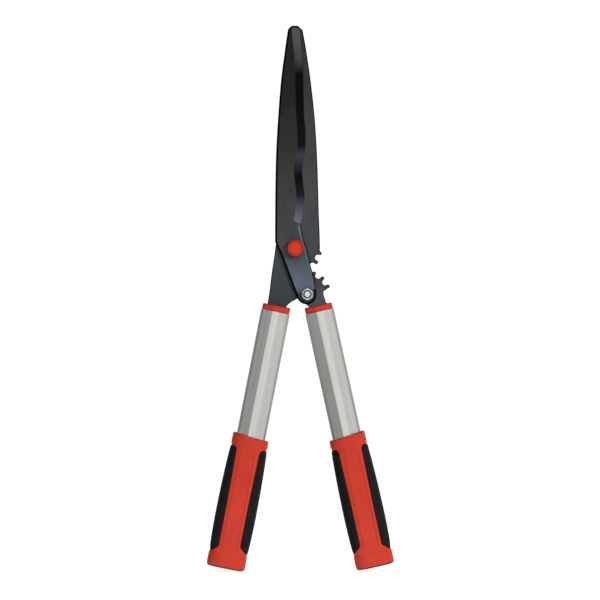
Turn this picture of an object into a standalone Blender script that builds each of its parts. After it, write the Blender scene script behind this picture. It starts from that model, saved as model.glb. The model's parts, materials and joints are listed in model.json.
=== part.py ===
"""Geared hedge shears, standing upright with the blades closed.

Metres, +Z up along the blades, +X to the right, the front of the shears faces -Y. The origin is
the centre of the pivot cap's flat front face, on the axis of the main pivot.

The rear blade and the left handle are one rigid half. The front blade turns on the main pivot. The
right handle turns on the gear pivot at the end of the front blade's tang, and its toothed plate
meshes with the teeth of the rear blade's plate, so it rolls around them as the blades open.
"""
import math

import bmesh
import bpy
from mathutils import Vector

MM = 0.001
GAP = 0.3 * MM                      # between neighbouring pieces
THROUGH = 60.0 * MM                 # length of a cutter that goes right through

# Places along Y, from the plane where the two blades slide on each other.
SHEAR_Y = 11.0 * MM
PLATE = 3.5 * MM                    # thickness of all three stamped plates
PLATE_MID = GAP / 2 + PLATE / 2
PLATE_FACE = GAP / 2 + PLATE

# Pivots, as (x, z). The main pivot is at the origin.
MAIN_PIVOT = (0.0, 0.0)
GEAR_PIVOT = (12.7 * MM, -48.3 * MM)
MAIN_HOLE_R = 6.3 * MM              # for the bush, in the front and rear blades
GEAR_HOLE_R = 4.9 * MM              # for the bush, in the front blade and the toothed plate

# The round end of the front blade's tang.
EYE_CENTRE = (11.9 * MM, -48.5 * MM)
EYE_R = 10.4 * MM

# Gear teeth. The rear blade carries part of a 16-tooth wheel, the right handle of a 14-tooth one.
SUN_TEETH = 16
PLANET_TEETH = 14
CUT_TEETH = 4                       # teeth that are really cut on each plate
SUN_FIRST_DEG = -11.2               # the first tooth's direction from the main pivot
PLANET_FIRST_DEG = 21.0             # the first tooth's direction from the gear pivot
CENTRES = math.hypot(*GEAR_PIVOT)
SUN_PITCH_R = CENTRES * SUN_TEETH / (SUN_TEETH + PLANET_TEETH)
PLANET_PITCH_R = CENTRES - SUN_PITCH_R
HUB_R = 10.2 * MM                   # the toothed plate's round side, about the gear pivot
ADDENDUM = 1.7 * MM
DEDENDUM = 3.8 * MM
# One flank of a tooth: share of its height, half its width there.
TOOTH_FLANK = ((0.0, 3.0), (0.12, 2.4), (0.32, 2.05), (0.8, 1.85), (0.94, 1.5), (1.0, 0.8))

# Blades.
TIP_Z = 233.6 * MM
BEVEL_WIDTH = 8.4 * MM
EDGE_LAND = 0.6 * MM                # thickness left at the cutting edge
# The wavy cutting edge of the front blade, as (x, z) in millimetres from heel to tip.
CUTTING_EDGE = ((5.4, 24.8), (7.6, 34.0), (8.6, 44.0), (9.7, 55.0), (8.0, 70.0), (7.3, 83.0),
                (9.9, 100.0), (10.8, 118.0), (9.3, 140.0), (8.6, 166.0), (7.8, 197.0), (4.2, 232.2))
BLADE_LEAN = 2.3 * MM               # how far the pair's centre line is off the pivot at its foot

# Handles: each is placed by the middle of its ferrule's top and by its lean.
HANDLES = {
    "left": {"top": (-19.4 * MM, -60.1 * MM), "lean_deg": 11.1},
    "right": {"top": (24.0 * MM, -59.8 * MM), "lean_deg": -12.4},
}
TANG_HALF_WIDTH = 10.0 * MM
TANG_DEPTH = 38.0 * MM              # how far a tang reaches into its handle
TUBE_HALF = (15.4 * MM, 10.5 * MM)  # half width, half depth
TUBE_WALL = 1.5 * MM
TUBE_END = 268.0 * MM
FERRULE_HEIGHT = 6.3 * MM
PLUG_END = 44.0 * MM
TANG_PIN_R = 2.0 * MM
TANG_PIN_DEPTH = 28.0 * MM

# Grips, measured down from their own top.
GRIP_TOP = 138.6 * MM
BORE_END = 131.0 * MM
# Distance down, half width, half depth, in millimetres.
GRIP_SECTIONS = (
    (0.0, 18.2, 14.3), (0.9, 19.1, 15.1), (11.6, 19.3, 15.3), (12.4, 18.9, 14.9),
    (13.2, 18.6, 14.6), (15.5, 19.4, 15.2), (35.0, 20.5, 15.8), (60.0, 21.2, 16.2),
    (90.0, 21.4, 16.4), (110.0, 21.1, 16.1), (123.5, 20.3, 15.6), (125.6, 19.6, 15.0),
    (127.2, 20.3, 15.6), (133.0, 20.5, 15.7), (140.4, 20.2, 15.4), (142.0, 18.8, 14.0),
    (142.6, 15.5, 11.0))
GRIP_TOP_SLANT = 3.4 * MM           # how much lower the top edge is on the inner side
SLANT_FADE = 10.0 * MM              # below this distance the sections are square to the handle
# The shell's bare strip between the two pads: half its width at the top and from the middle down.
STRIP_HALF_WIDTH = (12.2 * MM, 11.2 * MM)
STRIP_MIDDLE = 75.0 * MM
PAD_TOP = 13.6 * MM
PAD_TOP_CORNER = 4.0 * MM
# Where a pad's slanted lower end begins, beside the strip.
PAD_END = {"outer": 118.7 * MM, "inner": 116.0 * MM}
PAD_END_CORNER = 2.5 * MM
PAD_END_SLOPE_DEG = 40.0
PAD_END_REACH = 19.5 * MM           # distance from the handle's axis where the slope ends
PAD_THICKNESS = 2.2 * MM

# Section shapes, as shares of half width and half depth: the flat facet's half width, the shoulder
# where the sloping facet ends, and how far that slope runs on into the rounded side.
TUBE_SHAPE = {"facet": 0.21, "shoulder": (0.80, 0.66), "ease": 0.22, "side": 0.34}
GRIP_SHAPE = {"facet": 0.37, "shoulder": (0.60, 0.93), "ease": 0.9, "side": 0.55}
SIDE_STEPS = 4

COLOURS = {
    "coated_steel": ((0.055, 0.058, 0.064), 0.42, 0.6),
    "bright_steel": ((0.62, 0.63, 0.65), 0.28, 1.0),
    "dark_steel": ((0.16, 0.17, 0.18), 0.4, 1.0),
    "bronze": ((0.45, 0.30, 0.14), 0.4, 1.0),
    "anodised": ((0.55, 0.56, 0.57), 0.35, 1.0),
    "red_plastic": ((0.62, 0.045, 0.03), 0.38, 0.0),
    "black_rubber": ((0.022, 0.022, 0.024), 0.7, 0.0),
    "nylon": ((0.03, 0.04, 0.06), 0.5, 0.0),
}


# ---------------------------------------------------------------- scene set-up

def clear_scene():
    for item in list(bpy.data.objects):
        bpy.data.objects.remove(item, do_unlink=True)
    for name in ("hedge_shears", "cutters"):
        old = bpy.data.collections.get(name)
        if old:
            bpy.data.collections.remove(old)


def new_collection(name):
    collection = bpy.data.collections.new(name)
    bpy.context.scene.collection.children.link(collection)
    return collection


def axis_empty(name, location, rotation=(0.0, 0.0, 0.0), parent=None):
    empty = bpy.data.objects.new(name, None)
    empty.empty_display_size = 0.02
    empty.location = location
    empty.rotation_euler = rotation
    empty.parent = parent
    PARTS.objects.link(empty)
    return empty


def material(name, look):
    colour, roughness, metallic = COLOURS[look]
    made = bpy.data.materials.new(name)
    made.use_nodes = True
    shader = made.node_tree.nodes["Principled BSDF"]
    shader.inputs["Base Color"].default_value = (*colour, 1.0)
    shader.inputs["Roughness"].default_value = roughness
    shader.inputs["Metallic"].default_value = metallic
    made.diffuse_color = (*colour, 1.0)
    return made


def place(item, parent=None, location=(0.0, 0.0, 0.0), rotation=(0.0, 0.0, 0.0)):
    item.parent = parent
    item.location = location
    item.rotation_euler = rotation
    return item


def as_part(item, name, look, smooth_deg=35.0):
    item.name = name
    item.data.name = name
    item.data.materials.clear()
    item.data.materials.append(material(name, look))
    item.data.set_sharp_from_angle(angle=math.radians(smooth_deg))
    PARTS.objects.link(item)
    return item


def as_cutter(item, name):
    item.name = name
    item.hide_render = True
    item.display_type = "WIRE"
    CUTTERS.objects.link(item)
    return item


def boolean(item, other, operation="DIFFERENCE"):
    modifier = item.modifiers.new(other.name, "BOOLEAN")
    modifier.operation = operation
    modifier.solver = "EXACT"
    modifier.object = other


# ---------------------------------------------------------------- mesh makers

def mesh_object(shape):
    """A new object from a bmesh, with its faces pointing out and shaded smooth."""
    bmesh.ops.recalc_face_normals(shape, faces=shape.faces)
    mesh = bpy.data.meshes.new("mesh")
    shape.to_mesh(mesh)
    shape.free()
    mesh.shade_smooth()
    return bpy.data.objects.new("object", mesh)


def extruded(outlines, thickness):
    """A flat piece in its own XY plane from closed outlines: the first, and holes inside it."""
    curve = bpy.data.curves.new("outline", "CURVE")
    curve.dimensions = "2D"
    curve.fill_mode = "BOTH"
    curve.extrude = thickness / 2
    for outline in outlines:
        spline = curve.splines.new("POLY")
        spline.points.add(len(outline) - 1)
        for point, (x, y) in zip(spline.points, outline):
            point.co = (x, y, 0.0, 1.0)
        spline.use_cyclic_u = True
    guide = bpy.data.objects.new("outline", curve)
    bpy.context.scene.collection.objects.link(guide)
    graph = bpy.context.evaluated_depsgraph_get()
    flat = bpy.data.meshes.new_from_object(guide.evaluated_get(graph))
    shape = bmesh.new()
    shape.from_mesh(flat)
    bmesh.ops.remove_doubles(shape, verts=shape.verts, dist=0.005 * MM)
    item = mesh_object(shape)
    item.matrix_world = guide.matrix_world
    bpy.data.objects.remove(guide, do_unlink=True)
    bpy.data.curves.remove(curve)
    bpy.data.meshes.remove(flat)
    return item


def turned(profile, steps):
    """A turned piece about its own Z, from (radius, height) points down its outer side."""
    shape = bmesh.new()
    verts = [shape.verts.new((radius, 0.0, height)) for radius, height in profile]
    for first, second in zip(verts, verts[1:]):
        shape.edges.new((first, second))
    if profile[0][0] > 0.0:
        shape.edges.new((verts[-1], verts[0]))
    mesh = bpy.data.meshes.new("profile")
    shape.to_mesh(mesh)
    shape.free()
    item = bpy.data.objects.new("turned", mesh)
    screw = item.modifiers.new("turn", "SCREW")
    screw.axis = "Z"
    screw.angle = math.tau
    screw.steps = steps
    screw.render_steps = steps
    screw.use_merge_vertices = True
    screw.merge_threshold = 0.01 * MM
    screw.use_smooth_shade = True
    return item


def prism(sides, across_flats, depth):
    """A regular prism about its own Z."""
    shape = bmesh.new()
    radius = across_flats / 2 / math.cos(math.pi / sides)
    bmesh.ops.create_cone(shape, cap_ends=True, segments=sides, radius1=radius, radius2=radius,
                          depth=depth)
    return mesh_object(shape)


def rod(radius, length, segments=24):
    """A cylinder about its own Z."""
    shape = bmesh.new()
    bmesh.ops.create_cone(shape, cap_ends=True, segments=segments, radius1=radius, radius2=radius,
                          depth=length)
    return mesh_object(shape)


def box(size):
    shape = bmesh.new()
    bmesh.ops.create_cube(shape, size=1.0)
    bmesh.ops.scale(shape, verts=shape.verts, vec=Vector(size))
    return mesh_object(shape)


def loft(rings):
    """A closed solid through rings that all have the same number of points."""
    shape = bmesh.new()
    rows = [[shape.verts.new(point) for point in ring] for ring in rings]
    for upper, lower in zip(rows, rows[1:]):
        for index in range(len(upper)):
            after = (index + 1) % len(upper)
            shape.faces.new((upper[index], upper[after], lower[after], lower[index]))
    shape.faces.new(rows[0])
    shape.faces.new(rows[-1])
    return mesh_object(shape)


# ---------------------------------------------------------------- outlines

def in_mm(points):
    return [(x * MM, z * MM) for x, z in points]


def smooth_line(points, steps):
    """Points on a smooth line (Catmull-Rom) through the given ones."""
    padded = [points[0], *points, points[-1]]
    line = []
    for p0, p1, p2, p3 in zip(padded, padded[1:], padded[2:], padded[3:]):
        for step in range(steps):
            t = step / steps
            line.append(tuple(
                0.5 * (2 * b + (c - a) * t + (2 * a - 5 * b + 4 * c - d) * t ** 2
                       + (3 * b - a - 3 * c + d) * t ** 3)
                for a, b, c, d in zip(p0, p1, p2, p3)))
    line.append(points[-1])
    return line


def arc(centre, radius, start_deg, end_deg, steps):
    points = []
    for step in range(steps + 1):
        angle = math.radians(start_deg + (end_deg - start_deg) * step / steps)
        points.append((centre[0] + radius * math.cos(angle), centre[1] + radius * math.sin(angle)))
    return points


def circle(centre, radius, steps):
    return arc(centre, radius, 0.0, 360.0 - 360.0 / steps, steps - 1)


def tooth(centre, pitch_radius, direction_deg):
    """One gear tooth's outline, counter-clockwise as seen from the front."""
    angle = math.radians(direction_deg)
    out = Vector((math.cos(angle), math.sin(angle)))
    across = Vector((-out.y, out.x))
    flank = [(pitch_radius - DEDENDUM + share * (ADDENDUM + DEDENDUM), half * MM)
             for share, half in TOOTH_FLANK]
    side_one = [Vector(centre) + out * radius - across * half for radius, half in flank]
    side_two = [Vector(centre) + out * radius + across * half for radius, half in reversed(flank)]
    return [tuple(point) for point in side_one + side_two]


def handle_point(side, x, up):
    """World (x, z) of a point given across a handle's axis and up from its ferrule's top."""
    handle = HANDLES[side]
    lean = math.radians(handle["lean_deg"])
    return (handle["top"][0] + x * math.cos(lean) + up * math.sin(lean),
            handle["top"][1] - x * math.sin(lean) + up * math.cos(lean))


def tang_end(side):
    """The stretch of a tang's outline inside its ferrule, from its right edge to its left."""
    corner = 2.0 * MM
    return [handle_point(side, TANG_HALF_WIDTH, 0.0),
            handle_point(side, TANG_HALF_WIDTH, corner - TANG_DEPTH),
            handle_point(side, TANG_HALF_WIDTH - corner, -TANG_DEPTH),
            handle_point(side, corner - TANG_HALF_WIDTH, -TANG_DEPTH),
            handle_point(side, -TANG_HALF_WIDTH, corner - TANG_DEPTH),
            handle_point(side, -TANG_HALF_WIDTH, 0.0)]


def front_edge():
    """The front blade's cutting edge from heel to tip."""
    return smooth_line(in_mm(CUTTING_EDGE), 3)


def rear_edge():
    """The rear blade's cutting edge: the front one mirrored about the pair's centre line."""
    return [(2 * BLADE_LEAN * (1 - z / TIP_Z) - x, z) for x, z in front_edge()]


def front_blade_outline():
    spine = smooth_line(in_mm([(-8.1, 226.5), (-10.6, 209.5), (-14.9, 176.0), (-18.2, 134.0),
                               (-20.2, 96.0), (-21.0, 50.0), (-21.2, 7.0)]), 3)
    tip = in_mm([(2.4, 233.6), (-2.6, 233.6), (-5.0, 232.4), (-7.6, 229.2)])
    eye = arc(EYE_CENTRE, EYE_R, -155.0, 14.0, 12)
    tang_left = in_mm([(-20.3, 4.4), (-16.0, -5.0)])
    tang_right = smooth_line(in_mm([(20.8, -38.5), (19.4, -31.2), (15.9, -17.0), (11.6, 0.3),
                                    (9.0, 8.7), (7.2, 17.0), (5.5, 24.2)]), 2)
    return front_edge() + tip + spine + tang_left + eye + tang_right


def rear_blade_outline():
    spine = smooth_line(in_mm([(26.0, -3.0), (25.7, 12.0), (24.6, 42.0), (23.2, 90.0), (20.7, 134.0),
                               (16.2, 176.0), (11.3, 209.5), (8.3, 226.4)]), 3)
    tip = in_mm([(7.8, 228.8), (4.6, 231.7), (2.0, 233.1), (-2.4, 233.1)])
    boss = smooth_line(in_mm([(-2.4, 24.0), (-7.0, 21.4), (-13.0, 16.0), (-18.2, 10.0), (-20.4, 4.0),
                              (-21.4, -4.0), (-23.2, -16.0), (-25.5, -32.0), (-27.0, -45.0)]), 2)
    # Beside the right handle's toothed plate this edge runs round the gear pivot.
    relief = arc(GEAR_PIVOT, HUB_R + 1.0 * MM, 203.0, 131.0, 6)
    shoulder = in_mm([(1.3, -32.6), (0.4, -28.0), (-0.3, -23.4)])
    teeth = []
    for index in reversed(range(CUT_TEETH)):
        teeth += tooth(MAIN_PIVOT, SUN_PITCH_R, SUN_FIRST_DEG - index * 360.0 / SUN_TEETH)
    teeth = teeth[:1 - len(TOOTH_FLANK)]        # the first tooth's upper flank is in the spine
    foot = in_mm([(-4.4, -56.6), (0.8, -53.7)])
    return (spine + tip + list(reversed(rear_edge())) + boss + list(reversed(tang_end("left")))
            + foot + relief + shoulder + teeth)


def gear_plate_outline():
    teeth = []
    for index in range(CUT_TEETH):
        teeth += tooth(GEAR_PIVOT, PLANET_PITCH_R, PLANET_FIRST_DEG + index * 360.0 / PLANET_TEETH)
    stop = arc(GEAR_PIVOT, PLANET_PITCH_R - DEDENDUM, 109.5, 121.0, 2)
    hub = arc(GEAR_PIVOT, HUB_R, 127.0, 222.0, 8)
    right_edge = in_mm([(32.4, -57.0), (31.7, -54.3), (30.2, -50.1), (29.6, -46.8), (29.9, -44.6)])
    return teeth + stop + hub + list(reversed(tang_end("right"))) + right_edge


def section(half_width, half_depth, shape):
    """A faceted oval ring of (x, y) points, counter-clockwise from its right end."""
    facet = Vector((shape["facet"] * half_width, half_depth))
    shoulder = Vector((shape["shoulder"][0] * half_width, shape["shoulder"][1] * half_depth))
    lead_out = shoulder + (shoulder - facet) * shape["ease"]
    lead_in = Vector((half_width, shape["side"] * half_depth))
    end = Vector((half_width, 0.0))
    side = []
    for step in range(1, SIDE_STEPS):
        t = step / SIDE_STEPS
        side.append(end * (1 - t) ** 3 + lead_in * 3 * t * (1 - t) ** 2
                    + lead_out * 3 * t ** 2 * (1 - t) + shoulder * t ** 3)
    quarter = [tuple(point) for point in side + [shoulder, facet]]
    right_back = [(half_width, 0.0)] + quarter
    left_back = [(-x, y) for x, y in reversed(quarter)] + [(-half_width, 0.0)]
    left_front = [(-x, -y) for x, y in quarter]
    right_front = [(x, -y) for x, y in reversed(quarter)]
    return right_back + left_back + left_front + right_front


def section_ring(half_width, half_depth, shape, z):
    return [(x, y, z) for x, y in section(half_width, half_depth, shape)]


# ---------------------------------------------------------------- plates

FACE_FRONT = (math.pi / 2, 0.0, 0.0)        # turns a piece's own Z to face the front


def grinding_cutter(name, edge, side):
    """The wedge that grinds a blade: side is 1 on the front blade, -1 on the rear one.

    Its floor starts at the blade's outer face, BEVEL_WIDTH in from the cutting edge, and leaves
    EDGE_LAND there. Heights are above the shear plane, towards the outer face.
    """
    slope = (PLATE - EDGE_LAND) / BEVEL_WIDTH
    beyond = 3.0 * MM
    clear = 6.0 * MM
    above_tip = [(x, TIP_Z + 2.0 * MM) for x, z in edge[-1:]]
    rings = []
    for x, z in edge + above_tip:
        inner = x - side * (BEVEL_WIDTH + beyond)
        outer = x + side * beyond
        edge_height = GAP / 2 + EDGE_LAND
        rings.append([
            (inner, -side * (edge_height + slope * (BEVEL_WIDTH + beyond)), z),
            (outer, -side * (edge_height - slope * beyond), z),
            (outer, -side * (PLATE_FACE + clear), z),
            (inner, -side * (PLATE_FACE + clear), z)])
    return as_cutter(loft(rings), name)


def make_front_blade(pivot):
    holes = [circle(MAIN_PIVOT, MAIN_HOLE_R, 28), circle(GEAR_PIVOT, GEAR_HOLE_R, 24)]
    blade = as_part(extruded([front_blade_outline(), *holes], PLATE), "front_blade", "coated_steel")
    place(blade, pivot, (0.0, -PLATE_MID, 0.0), FACE_FRONT)
    boolean(blade, place(grinding_cutter("front_grinding", front_edge(), 1), pivot))


def make_rear_blade(root):
    holes = [circle(MAIN_PIVOT, MAIN_HOLE_R, 28),
             circle(handle_point("left", 0.0, -TANG_PIN_DEPTH), TANG_PIN_R + GAP, 16)]
    blade = as_part(extruded([rear_blade_outline(), *holes], PLATE), "rear_blade", "coated_steel")
    place(blade, root, (0.0, PLATE_MID, 0.0), FACE_FRONT)
    boolean(blade, place(grinding_cutter("rear_grinding", rear_edge(), -1), root))


def make_gear_plate(pivot):
    def about_pivot(points):
        return [(x - GEAR_PIVOT[0], z - GEAR_PIVOT[1]) for x, z in points]
    pin_hole = circle(handle_point("right", 0.0, -TANG_PIN_DEPTH), TANG_PIN_R + GAP, 16)
    outlines = [gear_plate_outline(), circle(GEAR_PIVOT, GEAR_HOLE_R, 24), pin_hole]
    plate = extruded([about_pivot(outline) for outline in outlines], PLATE)
    place(as_part(plate, "gear_plate", "coated_steel"), pivot, (0.0, PLATE_MID, 0.0), FACE_FRONT)


# ---------------------------------------------------------------- pivot hardware

def ring_profile(inner, outer, low, high):
    return [(inner, high), (outer, high), (outer, low), (inner, low)]


def fastener(name, look, profile, parent, at, steps=28):
    """A turned piece on a pivot: heights are above the shear plane, towards the front."""
    scaled = [(radius * MM, height * MM) for radius, height in profile]
    item = as_part(turned(scaled, steps), name, look)
    return place(item, parent, (at[0], 0.0, at[1]), FACE_FRONT)


def make_nut(name, profile, across_flats, parent, at):
    nut = fastener(name, "bright_steel", profile, parent, at)
    hexagon = as_cutter(prism(6, across_flats, THROUGH), name + "_hexagon")
    place(hexagon, parent, (at[0], 0.0, at[1]), FACE_FRONT)
    boolean(nut, hexagon, "INTERSECT")


def cut_socket(bolt, across_flats, mouth, depth, parent, at):
    """A hexagon socket in a bolt's head at the back, mouth being the head's outer face."""
    socket = as_cutter(prism(6, across_flats, 2 * depth), bolt.name + "_socket")
    place(socket, parent, (at[0], mouth, at[1]), FACE_FRONT)
    boolean(bolt, socket)


def make_main_pivot(parent):
    at = MAIN_PIVOT
    fastener("pivot_bush", "bronze", ring_profile(4.3, 6.0, -3.5, 3.5), parent, at)
    fastener("pivot_washer", "bright_steel", ring_profile(4.3, 9.0, -5.1, -3.95), parent, at)
    bolt = fastener("pivot_bolt", "dark_steel", [
        (0.0, 9.2), (3.5, 9.2), (4.0, 8.7), (4.0, -5.4), (8.2, -5.4), (8.5, -5.8), (8.5, -7.2),
        (7.6, -8.2), (5.6, -8.7), (0.0, -8.7)], parent, at)
    cut_socket(bolt, 5.0 * MM, 8.7 * MM, 2.4 * MM, parent, at)
    fastener("pivot_spring_washer", "dark_steel",
             [(4.3, 5.35), (7.0, 4.75), (7.0, 3.95), (4.3, 4.55)], parent, at)
    make_nut("pivot_nut", [(4.3, 9.4), (6.5, 9.4), (7.33, 8.9), (7.33, 6.2), (6.5, 5.65),
                           (4.3, 5.65)], 12.7 * MM, parent, at)
    fastener("pivot_cap", "red_plastic", [
        (0.0, 11.0), (6.1, 11.0), (6.35, 10.5), (6.95, 10.5), (7.25, 10.95), (7.95, 10.8),
        (8.65, 10.2), (9.0, 9.2), (9.0, 3.95), (7.85, 3.95), (7.85, 9.8), (0.0, 9.8)],
        parent, at, 36)


def make_gear_pivot(parent):
    at = GEAR_PIVOT
    fastener("gear_bush", "bronze", ring_profile(3.5, 4.6, -3.5, 3.5), parent, at, 24)
    fastener("gear_washer", "bright_steel", ring_profile(3.5, 6.6, -4.95, -3.95), parent, at, 24)
    bolt = fastener("gear_bolt", "bright_steel", [
        (0.0, 10.6), (2.7, 10.6), (3.18, 10.1), (3.18, -5.25), (5.4, -5.25), (5.7, -5.6),
        (5.7, -6.9), (4.9, -7.9), (3.6, -8.3), (0.0, -8.3)], parent, at, 24)
    cut_socket(bolt, 4.0 * MM, 8.3 * MM, 2.2 * MM, parent, at)
    fastener("gear_lock_washer", "dark_steel", ring_profile(3.5, 6.2, 3.95, 4.85), parent, at, 24)
    make_nut("gear_nut", [
        (4.35, 10.7), (4.7, 10.7), (5.0, 10.3), (5.0, 8.9), (5.7, 8.9), (6.4, 8.4), (6.4, 5.7),
        (5.8, 5.15), (3.5, 5.15), (3.5, 9.0), (4.35, 9.0)], 11.1 * MM, parent, at)
    fastener("gear_nut_insert", "nylon", ring_profile(3.5, 4.05, 9.3, 10.4), parent, at, 24)


# ---------------------------------------------------------------- handles

def inset(half, amount):
    return (half[0] - amount, half[1] - amount)


def tube_ring(amount, z):
    """The tube's outer section made smaller all round by an amount, at a height."""
    return section_ring(*inset(TUBE_HALF, amount), TUBE_SHAPE, z)


def make_ferrule(side, handle):
    plug = TUBE_WALL + GAP
    collar = 0.7 * MM                           # set in from the tube all round
    crown = 0.6 * MM
    rings = [tube_ring(collar + crown, 0.0), tube_ring(collar, -crown),
             tube_ring(collar, -FERRULE_HEIGHT), tube_ring(plug, -FERRULE_HEIGHT),
             tube_ring(plug, -PLUG_END)]
    ferrule = place(as_part(loft(rings), side + "_ferrule", "red_plastic"), handle)
    slot = as_cutter(box((2 * (TANG_HALF_WIDTH + GAP), PLATE + 2 * GAP, 3 * PLUG_END)),
                     side + "_tang_slot")
    boolean(ferrule, place(slot, handle))
    hole = as_cutter(rod(TANG_PIN_R + GAP, THROUGH, 16), side + "_pin_hole")
    boolean(ferrule, place(hole, handle, (0.0, 0.0, -TANG_PIN_DEPTH), FACE_FRONT))


def make_tang_pin(side, handle):
    length = 2 * (TUBE_HALF[1] - TUBE_WALL - 3 * GAP)
    pin = as_part(rod(TANG_PIN_R, length, 16), side + "_tang_pin", "bright_steel")
    place(pin, handle, (0.0, 0.0, -TANG_PIN_DEPTH), FACE_FRONT)


def make_tube(side, handle):
    start = FERRULE_HEIGHT + GAP
    outlines = [section(*TUBE_HALF, TUBE_SHAPE), section(*inset(TUBE_HALF, TUBE_WALL), TUBE_SHAPE)]
    tube = as_part(extruded(outlines, TUBE_END - start), side + "_tube", "anodised", 15.0)
    place(tube, handle, (0.0, 0.0, -(start + TUBE_END) / 2))


def grip_form(amount, outward):
    """The grip's outer form made smaller all round by an amount.

    Outward is the sign of the handle's outer side. The top edge is lower on the inner side.
    """
    rings = []
    for down, half_width, half_depth in GRIP_SECTIONS:
        half = inset((half_width * MM, half_depth * MM), amount)
        slant = GRIP_TOP_SLANT * max(0.0, 1.0 - down * MM / SLANT_FADE)
        rings.append([(x, y, z - slant * (1.0 - outward * x / half[0]) / 2)
                      for x, y, z in section_ring(*half, GRIP_SHAPE, -GRIP_TOP - down * MM)])
    return loft(rings)


def pad_window(which, sign, amount):
    """A rounded window in front view that bounds one pad, made smaller all round by an amount."""
    beside = [half + amount for half in STRIP_HALF_WIDTH]
    top = -GRIP_TOP - PAD_TOP - amount
    end = -GRIP_TOP - PAD_END[which] + amount
    slope = math.radians(PAD_END_SLOPE_DEG)
    upper = arc((beside[0] + PAD_TOP_CORNER, top - PAD_TOP_CORNER), PAD_TOP_CORNER, 90.0, 180.0, 3)
    lower = arc((beside[1] + PAD_END_CORNER, end), PAD_END_CORNER, 180.0,
                270.0 - PAD_END_SLOPE_DEG, 2)
    end_z = lower[-1][1] - (PAD_END_REACH - lower[-1][0]) * math.tan(slope)
    far = 30.0 * MM
    outline = [(far, top), *upper, (beside[1], -GRIP_TOP - STRIP_MIDDLE), *lower,
               (PAD_END_REACH, end_z), (far, end_z)]
    return extruded([[(sign * x, z) for x, z in outline]], THROUGH)


def make_grip(side, handle):
    outward = -1 if side == "left" else 1
    shell = as_part(grip_form(0.0, outward), side + "_grip_shell", "red_plastic")
    place(shell, handle)
    bore = as_cutter(loft([tube_ring(-GAP, 0.0), tube_ring(-GAP, -GRIP_TOP - BORE_END)]),
                     side + "_grip_bore")
    boolean(shell, place(bore, handle))
    for which, sign in (("outer", outward), ("inner", -outward)):
        label = side + "_pad_" + which
        pocket = as_cutter(pad_window(which, sign, 0.0), label + "_pocket")
        place(pocket, handle, rotation=FACE_FRONT)
        core = as_cutter(grip_form(PAD_THICKNESS, outward), label + "_pocket_floor")
        boolean(pocket, place(core, handle))
        boolean(shell, pocket)

        pad = as_part(grip_form(0.0, outward), side + "_grip_pad_" + which, "black_rubber")
        place(pad, handle)
        window = as_cutter(pad_window(which, sign, GAP), label + "_window")
        boolean(pad, place(window, handle, rotation=FACE_FRONT), "INTERSECT")
        back = as_cutter(grip_form(PAD_THICKNESS - GAP, outward), label + "_back")
        boolean(pad, place(back, handle))


def make_handle(side, parent=None):
    """Everything on one tang. A parent is an empty with no turn of its own."""
    top = HANDLES[side]["top"]
    start = Vector((top[0], SHEAR_Y + PLATE_MID, top[1]))
    if parent:
        start -= parent.location
    lean = math.radians(HANDLES[side]["lean_deg"])
    handle = axis_empty(side + "_handle_axis", start, (0.0, lean, 0.0), parent)
    make_ferrule(side, handle)
    make_tang_pin(side, handle)
    make_tube(side, handle)
    make_grip(side, handle)


# ---------------------------------------------------------------- assembly

clear_scene()
PARTS = new_collection("hedge_shears")
CUTTERS = new_collection("cutters")

root = axis_empty("left_half", (0.0, SHEAR_Y, 0.0))
blade_axis = axis_empty("blade_pivot_axis", (0.0, SHEAR_Y, 0.0))
gear_axis = axis_empty("gear_pivot_axis", (GEAR_PIVOT[0], SHEAR_Y, GEAR_PIVOT[1]))

make_rear_blade(root)
make_handle("left")
make_front_blade(blade_axis)
make_main_pivot(blade_axis)
make_gear_pivot(blade_axis)
make_gear_plate(gear_axis)
make_handle("right", gear_axis)
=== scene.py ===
"""The looks of the geared hedge shears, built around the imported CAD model.

Metres, +Z up along the blades, +X to the right, the front faces -Y. Every visible CAD node is
replaced by a finer piece of the same size in the same place; hidden hardware keeps its CAD mesh
and gets a finished material.
"""
import json
import math

import bmesh
import bpy
import numpy as np
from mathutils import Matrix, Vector
from mathutils.geometry import delaunay_2d_cdt


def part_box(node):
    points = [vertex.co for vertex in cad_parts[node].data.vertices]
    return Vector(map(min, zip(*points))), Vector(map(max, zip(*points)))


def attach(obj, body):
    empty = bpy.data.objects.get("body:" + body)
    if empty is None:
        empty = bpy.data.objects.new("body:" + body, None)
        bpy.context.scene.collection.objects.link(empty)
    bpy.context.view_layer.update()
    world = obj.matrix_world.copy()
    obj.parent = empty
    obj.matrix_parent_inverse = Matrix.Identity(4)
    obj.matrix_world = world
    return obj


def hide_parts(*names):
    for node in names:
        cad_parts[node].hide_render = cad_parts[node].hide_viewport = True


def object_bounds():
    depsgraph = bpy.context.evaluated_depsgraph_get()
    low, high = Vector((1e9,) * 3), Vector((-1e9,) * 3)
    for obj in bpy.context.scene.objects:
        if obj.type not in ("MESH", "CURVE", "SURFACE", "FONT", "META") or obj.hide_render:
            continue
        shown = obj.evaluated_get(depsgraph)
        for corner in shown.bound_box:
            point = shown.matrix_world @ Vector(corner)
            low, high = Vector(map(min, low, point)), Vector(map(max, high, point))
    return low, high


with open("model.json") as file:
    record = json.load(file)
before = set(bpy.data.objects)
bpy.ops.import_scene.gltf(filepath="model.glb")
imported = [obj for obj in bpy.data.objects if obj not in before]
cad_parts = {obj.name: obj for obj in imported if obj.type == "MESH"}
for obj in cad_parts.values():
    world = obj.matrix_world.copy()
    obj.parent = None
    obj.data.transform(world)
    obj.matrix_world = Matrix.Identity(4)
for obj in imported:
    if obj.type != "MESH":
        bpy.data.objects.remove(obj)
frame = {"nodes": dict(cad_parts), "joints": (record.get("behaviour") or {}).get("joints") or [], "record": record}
cad_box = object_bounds()

MM = 0.001
GAP = 0.3 * MM  # between pieces that touch

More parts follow.
